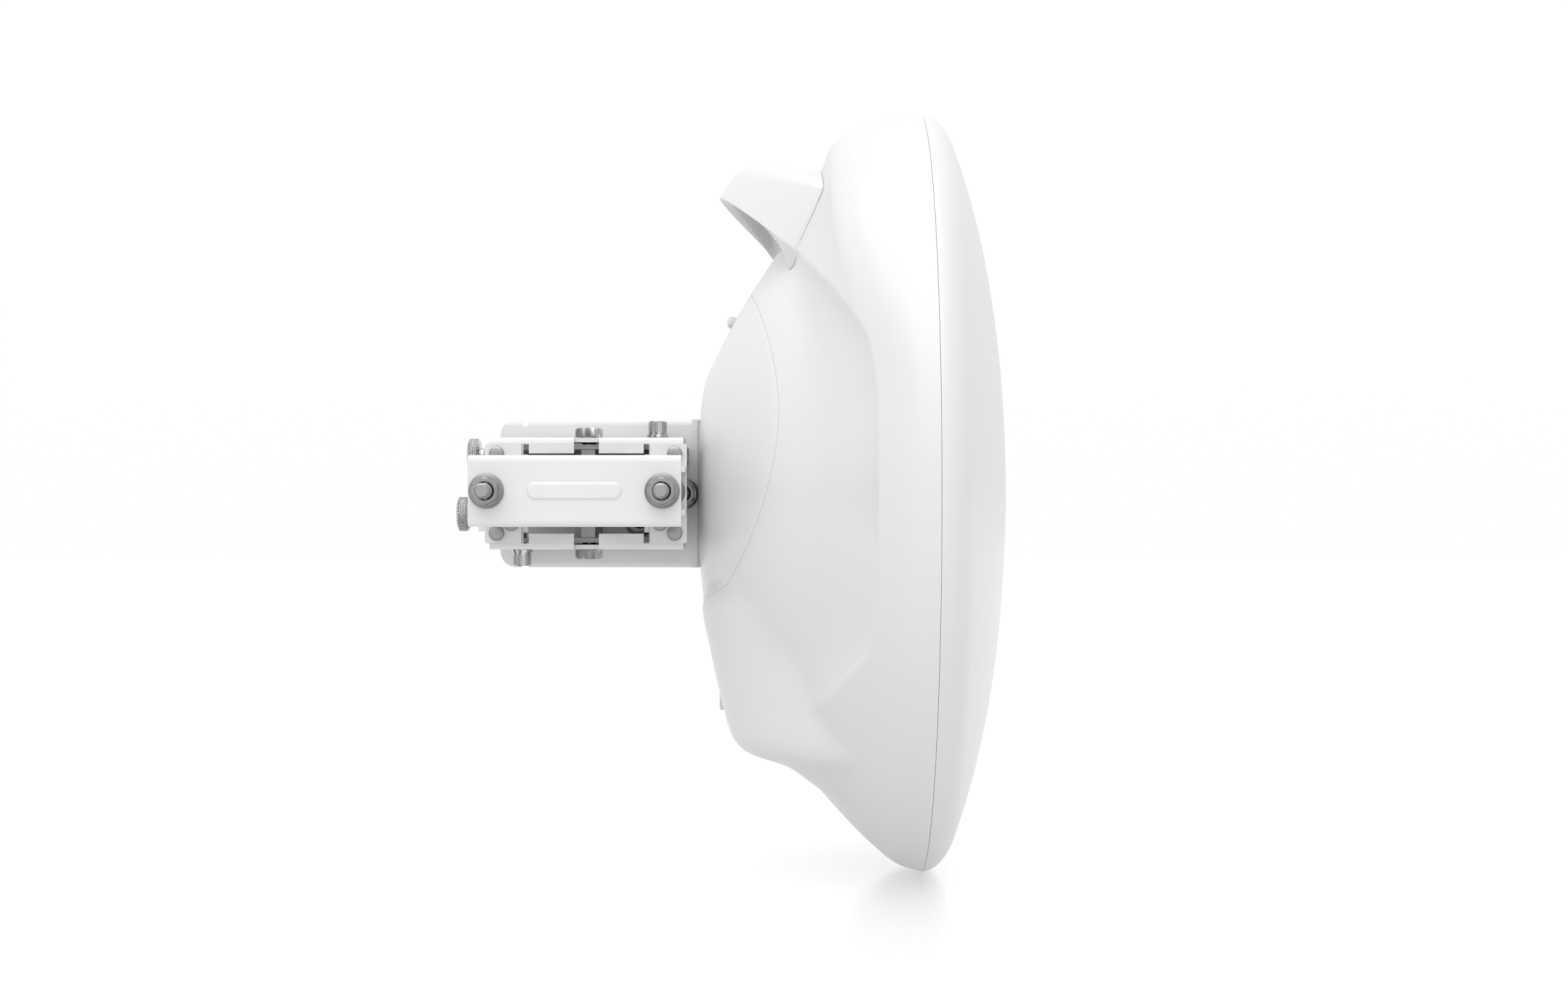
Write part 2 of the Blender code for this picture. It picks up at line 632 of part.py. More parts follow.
def make_azimuth_channel():
    near = STUD_PLATE_Y + PLATE + GAP
    outline = channel_outline(near, 80.3, CHANNEL_HALF_HEIGHT, SHEET)
    channel = prism("azimuth_channel", "X", outline, -52.4, 52.4, "white_paint")
    tab = box("tab_tool", (-58.2, near, -20.5), (-52.0, near + SHEET, -2.0))
    combine(channel, tab, "UNION")
    ear = box("ear_tool", (-58.2, near, -20.5), (-55.7, 58.0, -2.0))
    combine(channel, ear, "UNION")
    window = [(-31.5, -21.7), (31.5, -21.7), (31.5, 21.7), (-31.5, 21.7)]
    combine(channel, prism("window_tool", "Y", window, near - 5, near + 5, "zinc"))
    for level in (-1, 1):
        for low, high in ((-34.0, -31.0), (31.0, 34.0)):
            z_low, z_high = sorted((level * 21.0, level * 27.0))
            combine(channel, box("slit_tool", (low, near - 5, z_low), (high, near + 5, z_high)))
        z_low, z_high = sorted((level * 20.0, level * 35.0))
        combine(channel, box("notch_tool", (-6.7, near - 5, z_low), (6.8, near + 4.2, z_high)))
        cut_hole(channel, "Z", (0, PIVOT_Y, 0), M8 + 0.4, *sorted((level * 20, level * 40)))
    for side in (-1, 1):
        cut_hole(channel, "Y", (side * CLAMP_BOLT_X, 0, CLAMP_BOLT_Z), 8.3, 30, 50)
        trim = [(side * 1.0, 80.3), (side * 70.0, 68.1), (side * 70.0, 95.0), (side * 1.0, 95.0)]
        combine(channel, prism("trim_tool", "Z", trim, -60, 60, "zinc"))
    for x, z in PIN_PLACES + RIVET_PLACES:
        cut_hole(channel, "Y", (x, 0, z), 2.8, 30, 50, 12)
    for x, z_low, z_high in ((LOCK_TOP_X, 20, 40), (LOCK_BOTTOM_X, -40, -20)):
        slot = arc_slot_outline((0, PIVOT_Y), abs(x), 0 if x > 0 else 180, math.degrees(SWING + SLOT_SPARE), 3.6)
        combine(channel, prism("slot_tool", "Z", slot, z_low, z_high, "zinc"))
    cut_hole(channel, "X", (0, AZIMUTH_SCREW_Y, AZIMUTH_SCREW_Z), M6 + 0.4, -65, -50)


def make_carriage():
    """The channel that turns inside the fixed one and carries the elevation pivot."""
    web = CARRIAGE_WEB_Y
    outline = channel_outline(web, 50.0, CARRIAGE_HALF_HEIGHT, SHEET)
    carriage = prism("azimuth_carriage", "X", outline, -46.0, 34.0, "white_paint")
    cheek = [(33.0, -21.0)] + arc((TILT_X, 0.0), 9.1, -50, 50, 8) + [(33.0, 21.0)]
    combine(carriage, prism("cheek_tool", "Y", cheek, web - SHEET, web, "white_paint"), "UNION")
    pad = [(33.0, 50.0), (42.2, 50.0), (42.2, 66.0), (33.0, 70.0)]
    pad_tool = prism("pad_tool", "Z", pad, CARRIAGE_HALF_HEIGHT - SHEET, CARRIAGE_HALF_HEIGHT, "zinc")
    combine(carriage, pad_tool, "UNION")
    ear = box("ear_tool", (-48.5, 60.0, 12.0), (-45.0, web, CARRIAGE_HALF_HEIGHT))
    combine(carriage, ear, "UNION")
    for level in (-1, 1):
        cut_hole(carriage, "Z", (0, PIVOT_Y, 0), M8 + 0.4, *sorted((level * 20, level * 40)))
        cut_hole(carriage, "Y", (TILT_LOCK[0], 0, level * TILT_LOCK[1]), M8 + 0.4, 70, 90)
    cut_hole(carriage, "Y", (TILT_X, 0, 0), M8 + 0.4, 70, 90)
    cut_hole(carriage, "Z", (LOCK_TOP_X, PIVOT_Y, 0), M6 + 0.3, 20, 40)
    cut_hole(carriage, "Z", (LOCK_BOTTOM_X, PIVOT_Y, 0), M6 + 0.3, -40, -20)
    cut_hole(carriage, "X", (0, TILT_SCREW_Y, TILT_SCREW_Z), 2.9, -60, -30)


def make_trunnions():
    """The blocks that the two adjusting screws push: one on the carriage, one on the yoke."""
    half = 4.5
    low = (-half, AZIMUTH_SCREW_Y - 5.5, AZIMUTH_SCREW_Z - 5.5)
    high = (half, CARRIAGE_WEB_Y - SHEET - GAP, AZIMUTH_SCREW_Z + 5.5)
    block = box("azimuth_trunnion", low, high, "zinc")
    cut_hole(block, "X", (0, AZIMUTH_SCREW_Y, AZIMUTH_SCREW_Z), M6 + 1.2, -10, 10)
    low = (TILT_X - 3.2, TILT_SCREW_Y - 5.0, TILT_SCREW_Z - 4.6)
    high = (TILT_X + 3.2, YOKE_WEB_Y - GAP, TILT_SCREW_Z + 4.4)
    block = box("elevation_trunnion", low, high, "zinc")
    cut_hole(block, "X", (0, TILT_SCREW_Y, TILT_SCREW_Z - 0.1), 3.6, 30, 70)


def make_adjusters():
    """Knurled thumb screws that set the two angles."""
    for name, place, radius, head, tip in (
        ("azimuth_screw", (0, AZIMUTH_SCREW_Y, AZIMUTH_SCREW_Z), M6, -70.8, 6.0),
        ("elevation_screw", (0, TILT_SCREW_Y, TILT_SCREW_Z), 2.5, -67.5, 53.0),
    ):
        collar = head + KNOB_LENGTH
        stations = ((head, KNOB_RADIUS - 2.2), (head + 0.5, KNOB_RADIUS - 1.0), (head + 1.5, KNOB_RADIUS),
                    (collar - 1.2, KNOB_RADIUS), (collar, KNOB_RADIUS - 1.4), (collar, 4.0),
                    (collar + 2.0, 4.0), (collar + 2.0, radius), (tip - 0.8, radius), (tip, radius - 0.7))
        turned(name, "X", place, stations, "bright_steel", segments=18)


def make_yoke():
    """The channel that the dish is screwed to; its web tilts about the elevation pivot."""
    plate_x = BRACKET_X - 1.4
    outline = channel_outline(YOKE_WEB_Y, 129.5, YOKE_HALF_HEIGHT, SHEET)
    yoke = prism("elevation_yoke", "X", outline, -51.4, plate_x, "white_paint")
    plate = box("plate_tool", (plate_x - 3.0, YOKE_WEB_Y, -YOKE_HALF_HEIGHT), (plate_x, 129.5, YOKE_HALF_HEIGHT))
    combine(yoke, plate, "UNION")
    taper = [(-60.0, 84.4), (-36.0, 84.4), (-36.0, 100.0), (0.0, 118.0), (30.0, 135.0), (-60.0, 135.0)]
    combine(yoke, prism("taper_tool", "Z", taper, -60, 60, "zinc"))
    half = YOKE_HALF_HEIGHT
    for level in (-1, 1):
        corner = [(-60.0, level * (half - YOKE_CORNER)), (-60.0, level * 60.0), (-42.4, level * 60.0)]
        corner += [(x, level * z) for x, z in arc((-42.4, half - YOKE_CORNER), YOKE_CORNER, 90, 180, 5)]
        combine(yoke, prism("corner_tool", "Y", corner, 70, 140, "zinc"))
        z_low, z_high = sorted((level * (half - 3.8), level * 60.0))
        combine(yoke, box("relief_tool", (-39.6, 70, z_low), (-35.9, 140, z_high)))
        place = math.degrees(math.atan2(level * TILT_LOCK[1], TILT_LOCK[0] - TILT_X))
        reach = math.hypot(TILT_LOCK[1], TILT_LOCK[0] - TILT_X)
        slot = arc_slot_outline((TILT_X, 0), reach, place, math.degrees(SWING + SLOT_SPARE), M8 + 0.6)
        combine(yoke, prism("slot_tool", "Y", slot, 78, 88, "zinc"))
    cut_hole(yoke, "Y", (TILT_X, 0, 0), M8 + 0.4, 78, 88)
    head_relief = box("head_relief_tool", (TILT_X - 1, YOKE_WEB_Y + SHEET, -7.2), (TILT_X + 10, 91.0, 7.2))
    combine(yoke, head_relief)
    for y, z in screw_places():
        cut_hole(yoke, "X", (0, y, z), M6 + 0.4, plate_x - 6, plate_x + 3)
    gasket = prism("bracket_gasket", "X", rounded_rectangle((DISH_Y - 24, -41.4), (DISH_Y + 24, 41.4), 1.2),
                   plate_x + GAP, BRACKET_X - GAP, "rubber")
    for y, z in screw_places():
        cut_hole(gasket, "X", (0, y, z), M6 + 0.4, plate_x - 2, BRACKET_X + 2)
    seat = plate_x - 3.0 - GAP
    for number, (y, z) in enumerate(screw_places(), 1):
        hex_bolt(f"bracket_screw_{number}", "X", (seat, y, z), -1, 15.0, radius=M6, head=4.0, corner=5.7,
                 segments=12)


def socket_screw(name, x, level, washer=6.0):
    """M6 socket screw with its captive washer, locking the azimuth."""
    seat = level * (CHANNEL_HALF_HEIGHT + GAP)
    stations = ((9.0, 4.6), (8.4, 5.0), (2.6, 5.0), (2.6, washer - 0.6), (1.4, washer - 0.6), (1.4, washer),
                (0.0, washer), (0.0, M6), (-9.0, M6), (-9.6, M6 - 0.6))
    socket = turned(name, "Z", (x, PIVOT_Y, seat), [(level * z, r) for z, r in stations], "bright_steel", 18)
    recess = [(x + 2.9 * math.cos(math.pi * i / 3), PIVOT_Y + 2.9 * math.sin(math.pi * i / 3)) for i in range(6)]
    low, high = sorted((seat + level * 5.5, seat + level * 15.0))
    combine(socket, prism("socket_tool", "Z", recess, low, high, "zinc"))


def make_pivots():
    inside = CARRIAGE_HALF_HEIGHT - SHEET - GAP
    for end, level in (("top", 1), ("bottom", -1)):
        seat = level * (CHANNEL_HALF_HEIGHT + GAP)
        hex_bolt(f"azimuth_bolt_{end}", "Z", (0, PIVOT_Y, seat), level, 13.2)
        hexagon = hex_radius(HEX_13)
        stations = [(0.0, hexagon), (6.3, hexagon), (6.3, M8 + GAP), (0.0, M8 + GAP)]
        stations = [(-level * z, r) for z, r in stations]
        turned(f"azimuth_nut_{end}", "Z", (0, PIVOT_Y, level * inside), stations, "zinc", 12, bore=True)
    socket_screw("azimuth_lock_top", LOCK_TOP_X, 1)
    socket_screw("azimuth_lock_bottom", LOCK_BOTTOM_X, -1)
    near = CARRIAGE_WEB_Y - SHEET - GAP
    far = YOKE_WEB_Y + SHEET + GAP
    places = (("tilt_bolt", "tilt_nut", TILT_X, 0.0), ("tilt_lock_bolt_top", "tilt_lock_nut_top", *TILT_LOCK),
              ("tilt_lock_bolt_bottom", "tilt_lock_nut_bottom", TILT_LOCK[0], -TILT_LOCK[1]))
    for bolt, nut, x, z in places:
        hex_bolt(bolt, "Y", (x, far, z), 1, 15.2, corner=6.6)
        flange_nut(nut, "Y", (x, near, z), -1, M8)


def main():
    clear_scene()
    make_radome()
    make_rim_gasket()
    make_reflector()
    make_feed()
    make_electronics()
    make_back_shell()
    make_rear_cover()
    make_vent()
    make_port()
    make_handle()
    make_jaw("outer_jaw", OUTER_BAR_Y, -19.5, 18.3, -29.25, -15.0)
    make_jaw("inner_jaw", INNER_JAW_Y, 16.0, 13.0, 29.25, 10.0)
    make_stud_plate()
    make_azimuth_channel()
    make_carriage()
    make_trunnions()
    make_adjusters()
    make_yoke()
    make_clamp_hardware()
    make_pivots()
    for number, (x, z) in enumerate(PIN_PLACES, 1):
        rivet(f"plate_pin_{number}", x, z, 4.0)
    for number, (x, z) in enumerate(RIVET_PLACES, 1):
        rivet(f"jaw_rivet_{number}", x, z, 3.8)


main()
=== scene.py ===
import json
import math

import bmesh
import bpy
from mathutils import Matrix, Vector


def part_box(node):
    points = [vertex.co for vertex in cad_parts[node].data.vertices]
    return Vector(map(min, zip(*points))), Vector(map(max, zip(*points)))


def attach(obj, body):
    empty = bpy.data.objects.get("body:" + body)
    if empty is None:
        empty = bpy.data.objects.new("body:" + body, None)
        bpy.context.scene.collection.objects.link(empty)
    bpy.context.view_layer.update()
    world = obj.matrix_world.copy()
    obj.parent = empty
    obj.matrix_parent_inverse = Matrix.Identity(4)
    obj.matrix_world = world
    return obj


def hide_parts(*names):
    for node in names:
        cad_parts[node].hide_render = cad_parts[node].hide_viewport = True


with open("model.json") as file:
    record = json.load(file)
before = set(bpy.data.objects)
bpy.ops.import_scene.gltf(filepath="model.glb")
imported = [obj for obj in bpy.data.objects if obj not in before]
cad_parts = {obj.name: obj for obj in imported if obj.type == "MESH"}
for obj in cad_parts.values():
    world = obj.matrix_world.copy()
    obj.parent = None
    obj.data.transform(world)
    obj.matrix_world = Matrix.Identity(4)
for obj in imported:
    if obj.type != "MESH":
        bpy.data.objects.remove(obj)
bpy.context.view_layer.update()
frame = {"nodes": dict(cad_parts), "record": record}

# Numbers below are millimetres in the row's frame unless a name says otherwise.
MM = 0.001
GAP = 0.3  # air between neighbouring parts

# ---------------------------------------------------------------- driving dimensions
DISH_Y = 105.5  # the dish's axis stands this far beside the pole's axis
RIM_X = 182.8  # plane of the seam between the radome and the back shell
RIM_RADIUS = 212.0
RADOME_RISE = 46.7  # from the seam to the tip of the radome
TIP_SETBACK = 0.07  # keeps the radome's smooth tip inside the faceted tip of the CAD
WALL = 2.6  # moulded wall of radome and shell
BACK_DEPTH = 122.9  # from the seam back to the flat that the bracket is screwed to
AROUND = 360  # points around the dish on the moulded skins
EDGE = 0.15  # how far the outermost ring of a moulding sinks, to soften its edge

COVER_Z = 22.5  # the oval rear cover: centre height and half sizes
COVER_HALF_WIDTH = 130.0
COVER_HALF_HEIGHT = 89.5
COVER_SEAM = 0.12  # open line between the cover and the shell

CREASE_SINK = 9.0  # how far the shell drops inside the ridge on its flanks, and how quickly
CREASE_REACH = 14.0

HANDLE_HALF_WIDTH = 83.0
HANDLE_REACH = 113.0  # from the seam plane back to the tip of the handle
HANDLE_TIP_Z = 167.0
HANDLE_SEAM = 0.12  # open line between the handle and the shell
GRIP_SHARE = 0.84  # share of the handle's width that the meshed pad covers

POD_HALF_WIDTH = 50.0
VENT_Z = 97.0
VENT_RADIUS = 3.4
PORT_START = (RIM_X - 97.5, -140.6)  # the little door under the pod: x and z of its rear edge
PORT_END = (RIM_X - 79.0, -146.9)  # and of its hinge
PORT_HALF_WIDTH = 27.0
PORT_CORNER = 2.5
LATCH_TRAVEL = 3.0

BRACKET_X = RIM_X - BACK_DEPTH  # the flat that the bracket is screwed to
SCREW_SPREAD_Y = 15.0
SCREW_SPREAD_Z = 32.0
SCREW_PLACES = [
    (BRACKET_X, DISH_Y + side * SCREW_SPREAD_Y, level * SCREW_SPREAD_Z)
    for side in (-1, 1) for level in (-1, 1)
]

CLAMP_BOLT_X = 44.8
CLAMP_BOLT_Z = 1.3
OUTER_BAR_Y = -37.5
STUD_PLATE_Y = 34.5
PLATE = 3.0
PIVOT_Y = 57.5  # azimuth axis: vertical, at x = 0
CHANNEL_HALF_HEIGHT = 30.3

M8 = 4.0
M6 = 3.0
NUT_FLANGE = 8.95
NUT_CORNER = 7.45  # half the width across corners of a flange nut's hexagon
HEX_13 = 7.5  # the same on the head of an M8 bolt

AZIMUTH_SCREW_Y = 48.5
AZIMUTH_SCREW_Z = -11.2
TILT_SCREW_Y = 67.4
TILT_SCREW_Z = 21.0
KNOB_RADIUS = 9.3
KNOB_LENGTH = 7.0

CAMERA_X = 106.8
CAMERA_DISTANCE = 1387.0  # from the dish's axis

# ---------------------------------------------------------------- the back shell's surface
def curve_through(points):
    """A smooth curve through given points that never overshoots between them."""
    xs = [point[0] for point in points]
    ys = [point[1] for point in points]
    slopes = [(ys[i + 1] - ys[i]) / (xs[i + 1] - xs[i]) for i in range(len(xs) - 1)]
    tangents = [slopes[0]]
    for before, after in zip(slopes, slopes[1:]):
        same_way = before * after > 0
        tangents.append(2 * before * after / (before + after) if same_way else 0.0)
    tangents.append(slopes[-1])

    def value(x):
        if x <= xs[0]:
            return ys[0] + (x - xs[0]) * tangents[0]
        if x >= xs[-1]:
            return ys[-1] + (x - xs[-1]) * tangents[-1]
        i = max(k for k in range(len(xs) - 1) if xs[k] <= x)
        width = xs[i + 1] - xs[i]
        t = (x - xs[i]) / width
        rise = (2 * t**3 - 3 * t**2 + 1) * ys[i] + (3 * t**2 - 2 * t**3) * ys[i + 1]
        lean = (t**3 - 2 * t**2 + t) * tangents[i] + (t**3 - t**2) * tangents[i + 1]
        return rise + lean * width

    return value


# Distance behind the seam plane (negative) against distance from the dish's axis: the flanks, the
# steeper top behind the handle, and the dome that carries the rear cover.
BOWL = curve_through(
    ((40.0, -108.0), (100.0, -92.0), (130.0, -80.5), (153.6, -66.4), (180.4, -43.6),
     (197.9, -25.9), (208.2, -12.4), (212.0, 0.0))
)
CROWN = curve_through(
    ((100.0, -90.0), (128.7, -82.0), (179.5, -56.3), (187.0, -53.2), (193.5, -50.6),
     (202.8, -40.4), (209.0, -23.3), (212.0, 0.0))
)
DOME = curve_through(
    ((0.0, -BACK_DEPTH), (44.0, -BACK_DEPTH), (61.0, -120.8), (81.0, -112.2), (100.4, -102.0),
     (128.7, -83.4), (150.0, -61.5), (175.0, -31.0), (212.0, 20.0))
)
# The ridge on the flanks: distance from the axis against degrees above the horizontal.
CREASE = curve_through(
    ((-90.0, 128.0), (-53.0, 150.5), (-45.0, 159.5), (-37.0, 171.0), (-30.0, 182.0),
     (-25.5, 189.5), (-21.0, 193.5), (-14.0, 194.5), (15.0, 194.5), (23.0, 195.0), (27.5, 191.5),
     (33.0, 184.5), (40.0, 174.5), (46.5, 165.5), (56.0, 155.5), (66.0, 148.0), (90.0, 142.0))
)
# Distance behind the seam plane against height, down the middle of the cable pod.
POD = curve_through(
    ((-220.0, 20.0), (-156.0, -64.0), (-148.5, -75.0), (-144.8, -86.0), (-142.5, -93.0),
     (-139.5, -98.8), (-131.0, -105.1), (-112.0, -110.5), (-81.4, -117.3), (-66.2, -120.4),
     (-40.0, -122.6))
)


def ramp(low, high, value):
    """0 below low, 1 above high, and a smooth step between them."""
    t = min(1.0, max(0.0, (value - low) / (high - low)))
    return t * t * (3 - 2 * t)


def smooth_min(a, b, reach):
    """The smaller of two depths, with the corner between them rounded over reach."""
    share = min(1.0, max(0.0, 0.5 + 0.5 * (b - a) / reach))
    return b + (a - b) * share - reach * share * (1 - share)


def back_depth(y, z):
    """Depth of the shell's outer surface behind the seam plane, y across and z above its axis."""
    radius = math.hypot(y, z)
    crown_share = ramp(0.2, 0.8, z / max(radius, 1.0))
    bowl = BOWL(radius) * (1 - crown_share) + CROWN(radius) * crown_share
    inside = CREASE(math.degrees(math.atan2(z, abs(y)))) - radius
    fade = ramp(25.0, 70.0, abs(y)) if z > 0 else ramp(70.0, 150.0, abs(y))
    sink = CREASE_SINK * (1 - math.exp(-max(0.0, inside) / CREASE_REACH)) * fade
    surface = smooth_min(bowl + sink, DOME(radius), 5.0)
    pod_sides = 0.012 * max(0.0, abs(y) - POD_HALF_WIDTH) ** 2
    pod_top = 0.02 * max(0.0, z + 66.0) ** 2
    return min(0.0, smooth_min(surface, POD(z) + pod_sides + pod_top, 4.0))


def surface_point(y, z, inset=0.0):
    """A point on the shell's outer surface, or inset below it, in the row's frame."""
    step = 0.5
    slope_y = (back_depth(y + step, z) - back_depth(y - step, z)) / (2 * step)
    slope_z = (back_depth(y, z + step) - back_depth(y, z - step)) / (2 * step)
    inward = Vector((1.0, -slope_y, -slope_z)).normalized()
    point = Vector((back_depth(y, z), y, z)) + inward * inset
    return point + Vector((RIM_X, DISH_Y, 0.0))


def cover_edge(angle, spare=0.0):
    """A point on the rear cover's oval edge, across and above the dish's axis."""
    return (
        (COVER_HALF_WIDTH + spare) * math.cos(angle),
        COVER_Z + (COVER_HALF_HEIGHT + spare) * math.sin(angle),
    )


# ---------------------------------------------------------------- materials
def new_material(name, colour, roughness, metallic=0.0):
    made = bpy.data.materials.new(name)
    made.use_nodes = True
    shader = made.node_tree.nodes["Principled BSDF"]
    shader.inputs["Base Color"].default_value = (*colour, 1.0)
    shader.inputs["Roughness"].default_value = roughness
    shader.inputs["Metallic"].default_value = metallic
    return made, made.node_tree, shader


def add_node(tree, kind, **settings):
    """A shader node; each setting is one of its inputs or, failing that, a property."""
    node = tree.nodes.new(kind)
    for key, value in settings.items():
        if key in node.inputs:
            node.inputs[key].default_value = value
        else:
            setattr(node, key, value)
    return node


def noise(tree, scale, detail=3.0, stretch=None):
    """Noise in the object's own metres, so it stays the same size on every piece."""
    place = add_node(tree, "ShaderNodeTexCoord")
    mapping = add_node(tree, "ShaderNodeMapping", Scale=stretch or (1.0, 1.0, 1.0))
    tree.links.new(place.outputs["Object"], mapping.inputs["Vector"])
    texture = add_node(tree, "ShaderNodeTexNoise", Scale=scale, Detail=detail)
    tree.links.new(mapping.outputs["Vector"], texture.inputs["Vector"])
    return texture.outputs["Fac"]


def spread(tree, value, low, high):
    """Stretch the middle of a noise over the range from low to high."""
    node = add_node(tree, "ShaderNodeMapRange")
    node.inputs["From Min"].default_value = 0.3
    node.inputs["From Max"].default_value = 0.7
    node.inputs["To Min"].default_value = low
    node.inputs["To Max"].default_value = high
    tree.links.new(value, node.inputs["Value"])
    return node.outputs["Result"]


def blend_colours(tree, value, first, second):
    node = add_node(tree, "ShaderNodeMix", data_type="RGBA")
    node.inputs[6].default_value = (*first, 1.0)
    node.inputs[7].default_value = (*second, 1.0)
    tree.links.new(value, node.inputs[0])
    return node.outputs[2]


def bump(tree, shader, height, strength, distance):
    node = add_node(tree, "ShaderNodeBump", Strength=strength, Distance=distance)
    tree.links.new(height, node.inputs["Height"])
    tree.links.new(node.outputs["Normal"], shader.inputs["Normal"])


def surface_material(
    name, light, dark, rough, grain, strength, distance, metallic=0.0, stretch=None, drift=9.0
):
    """A finish with a fine grain, a slow drift in colour and a roughness that varies a little.

    grain and drift are noise scales per metre; strength and distance, in metres, shape the grain.
    """
    made, tree, shader = new_material(name, light, rough[0], metallic)
    slow = spread(tree, noise(tree, drift, 2.0), 0.0, 1.0)
    tree.links.new(blend_colours(tree, slow, light, dark), shader.inputs["Base Color"])
    fine = noise(tree, grain, 4.0, stretch)
    tree.links.new(spread(tree, fine, *rough), shader.inputs["Roughness"])
    bump(tree, shader, fine, strength, distance)
    return made


def reflection_painted_metal(name, tint, rough, steps, lean):
    """A plated metal with painted reflections: its base colour steps dark and bright with the way
    each face points, as among dark studio flags.

    steps are (place from 0 to 1, tone), the two ends first; lean is the direction of place 1.
    """
    made, tree, shader = new_material(name, tint, rough[0], 1.0)
    geometry = tree.nodes.new("ShaderNodeNewGeometry")
    dot = add_node(tree, "ShaderNodeVectorMath", operation="DOT_PRODUCT")
    dot.inputs[1].default_value = Vector(lean).normalized()
    tree.links.new(geometry.outputs["Normal"], dot.inputs[0])
    place = tree.nodes.new("ShaderNodeMapRange")
    place.inputs["From Min"].default_value = -1.0
    tree.links.new(dot.outputs["Value"], place.inputs["Value"])
    # The ramp's tones are painted reflection bands laid into the base colour.
    painted_reflection_tones = tree.nodes.new("ShaderNodeValToRGB")
    stops = painted_reflection_tones.color_ramp.elements
    for number, (where, tone) in enumerate(steps):
        stop = stops[number] if number < 2 else stops.new(where)
        stop.position = where
        stop.color = (tint[0] * tone, tint[1] * tone, tint[2] * tone, 1.0)
    tree.links.new(place.outputs["Result"], painted_reflection_tones.inputs["Fac"])
    tree.links.new(painted_reflection_tones.outputs["Color"], shader.inputs["Base Color"])
    fine = noise(tree, 800.0, 4.0)
    tree.links.new(spread(tree, fine, *rough), shader.inputs["Roughness"])
    bump(tree, shader, fine, 0.12, 0.00004)
    return made


def woven_grip(name, light, dark, pitch):
    """A fine square mesh moulded into the plastic, with painted shade darkening its grooves."""
    made, tree, shader = new_material(name, light, 0.6)
    waves = 0.314 / pitch / MM  # a wave texture at scale 0.314 repeats once per unit
    place = tree.nodes.new("ShaderNodeTexCoord")
    heights = []
    for direction in ("X", "Y"):
        wave = add_node(tree, "ShaderNodeTexWave", Scale=waves, bands_direction=direction)
        tree.links.new(place.outputs["Object"], wave.inputs["Vector"])
        heights.append(wave.outputs["Fac"])
    deepest = add_node(tree, "ShaderNodeMath", operation="MINIMUM")
    tree.links.new(heights[0], deepest.inputs[0])
    tree.links.new(heights[1], deepest.inputs[1])
    # The colour follows the mesh's depth: painted shade, darker down in the grooves.
    colour = blend_colours(tree, deepest.outputs[0], dark, light)
    tree.links.new(colour, shader.inputs["Base Color"])
    bump(tree, shader, deepest.outputs[0], 0.4, 0.0002)
    return made


MATERIALS = {
    "white_plastic": surface_material(
        "white_plastic", (0.625, 0.632, 0.635), (0.615, 0.622, 0.627), (0.27, 0.34),
        2600.0, 0.05, 0.00005),
    "white_paint": surface_material(
        "white_paint", (0.66, 0.663, 0.668), (0.64, 0.644, 0.65), (0.36, 0.46),
        1300.0, 0.12, 0.00008),
    # Zinc, plated and bright steel carry painted reflections in their base colour, dark and bright
    # by face direction.
    "zinc": reflection_painted_metal(
        "zinc", (0.44, 0.443, 0.45), (0.34, 0.46),
        ((0.0, 0.35), (1.0, 0.8), (0.3, 0.62), (0.45, 0.5), (0.62, 0.6), (0.8, 0.75)),
        (0.35, -0.5, 0.8)),
    "plated": reflection_painted_metal(
        "plated", (0.74, 0.745, 0.75), (0.18, 0.28),
        ((0.0, 0.2), (1.0, 0.9), (0.3, 0.25), (0.5, 0.55), (0.68, 0.2), (0.82, 0.8)),
        (0.75, -0.4, 0.5)),
    "bright_steel": reflection_painted_metal(
        "bright_steel", (0.80, 0.80, 0.81), (0.14, 0.24),
        ((0.0, 0.2), (1.0, 0.9), (0.22, 0.7), (0.34, 0.08), (0.46, 0.65), (0.6, 0.12),
         (0.72, 0.85), (0.86, 0.4)),
        (0.85, -0.3, 0.45)),
    "aluminium": surface_material(
        "aluminium", (0.70, 0.71, 0.72), (0.64, 0.65, 0.66), (0.28, 0.40),
        500.0, 0.15, 0.00005, 1.0, stretch=(1.0, 1.0, 12.0), drift=40.0),
    "rubber": surface_material(
        "rubber", (0.03, 0.03, 0.03), (0.045, 0.045, 0.045), (0.7, 0.85), 900.0, 0.3, 0.0001),
    "dielectric": surface_material(
        "dielectric", (0.76, 0.73, 0.64), (0.72, 0.69, 0.60), (0.4, 0.5), 900.0, 0.1, 0.0001),
    "board": surface_material(
        "board", (0.02, 0.16, 0.07), (0.03, 0.20, 0.09), (0.3, 0.45), 600.0, 0.2, 0.0001),
    # The pad's light tone is set above the shell's plastic to lift its shaded finger hollow: painted
    # light.
    "grip": woven_grip("grip", (0.82, 0.825, 0.83), (0.5, 0.505, 0.51), 1.3),
    "grey_rubber": surface_material(
        "grey_rubber", (0.50, 0.505, 0.51), (0.46, 0.465, 0.47), (0.6, 0.7), 900.0, 0.2, 0.0001),
}


def dress_cad_nodes():
    """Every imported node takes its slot's finish, and painted sheet gets a small edge radius."""
    slots = {part["node"]: part["material_slot"] for part in frame["record"]["subparts"]}
    for name, thing in frame["nodes"].items():
        thing.data.materials.clear()
        finish = "grey_rubber" if name == "bracket_gasket" else slots[name]
        thing.data.materials.append(MATERIALS[finish])
        weld = thing.modifiers.new("weld", "WELD")
        weld.merge_threshold = 0.01 * MM
        if slots[name] == "white_paint":
            edge = thing.modifiers.new("edge", "BEVEL")
            edge.width = 0.4 * MM
            edge.segments = 3
            edge.limit_method = "ANGLE"
            edge.angle_limit = math.radians(40)
            edge.harden_normals = True


# ---------------------------------------------------------------- making pieces
SMOOTH_BELOW = 38.0  # degrees between faces that still shade as one surface


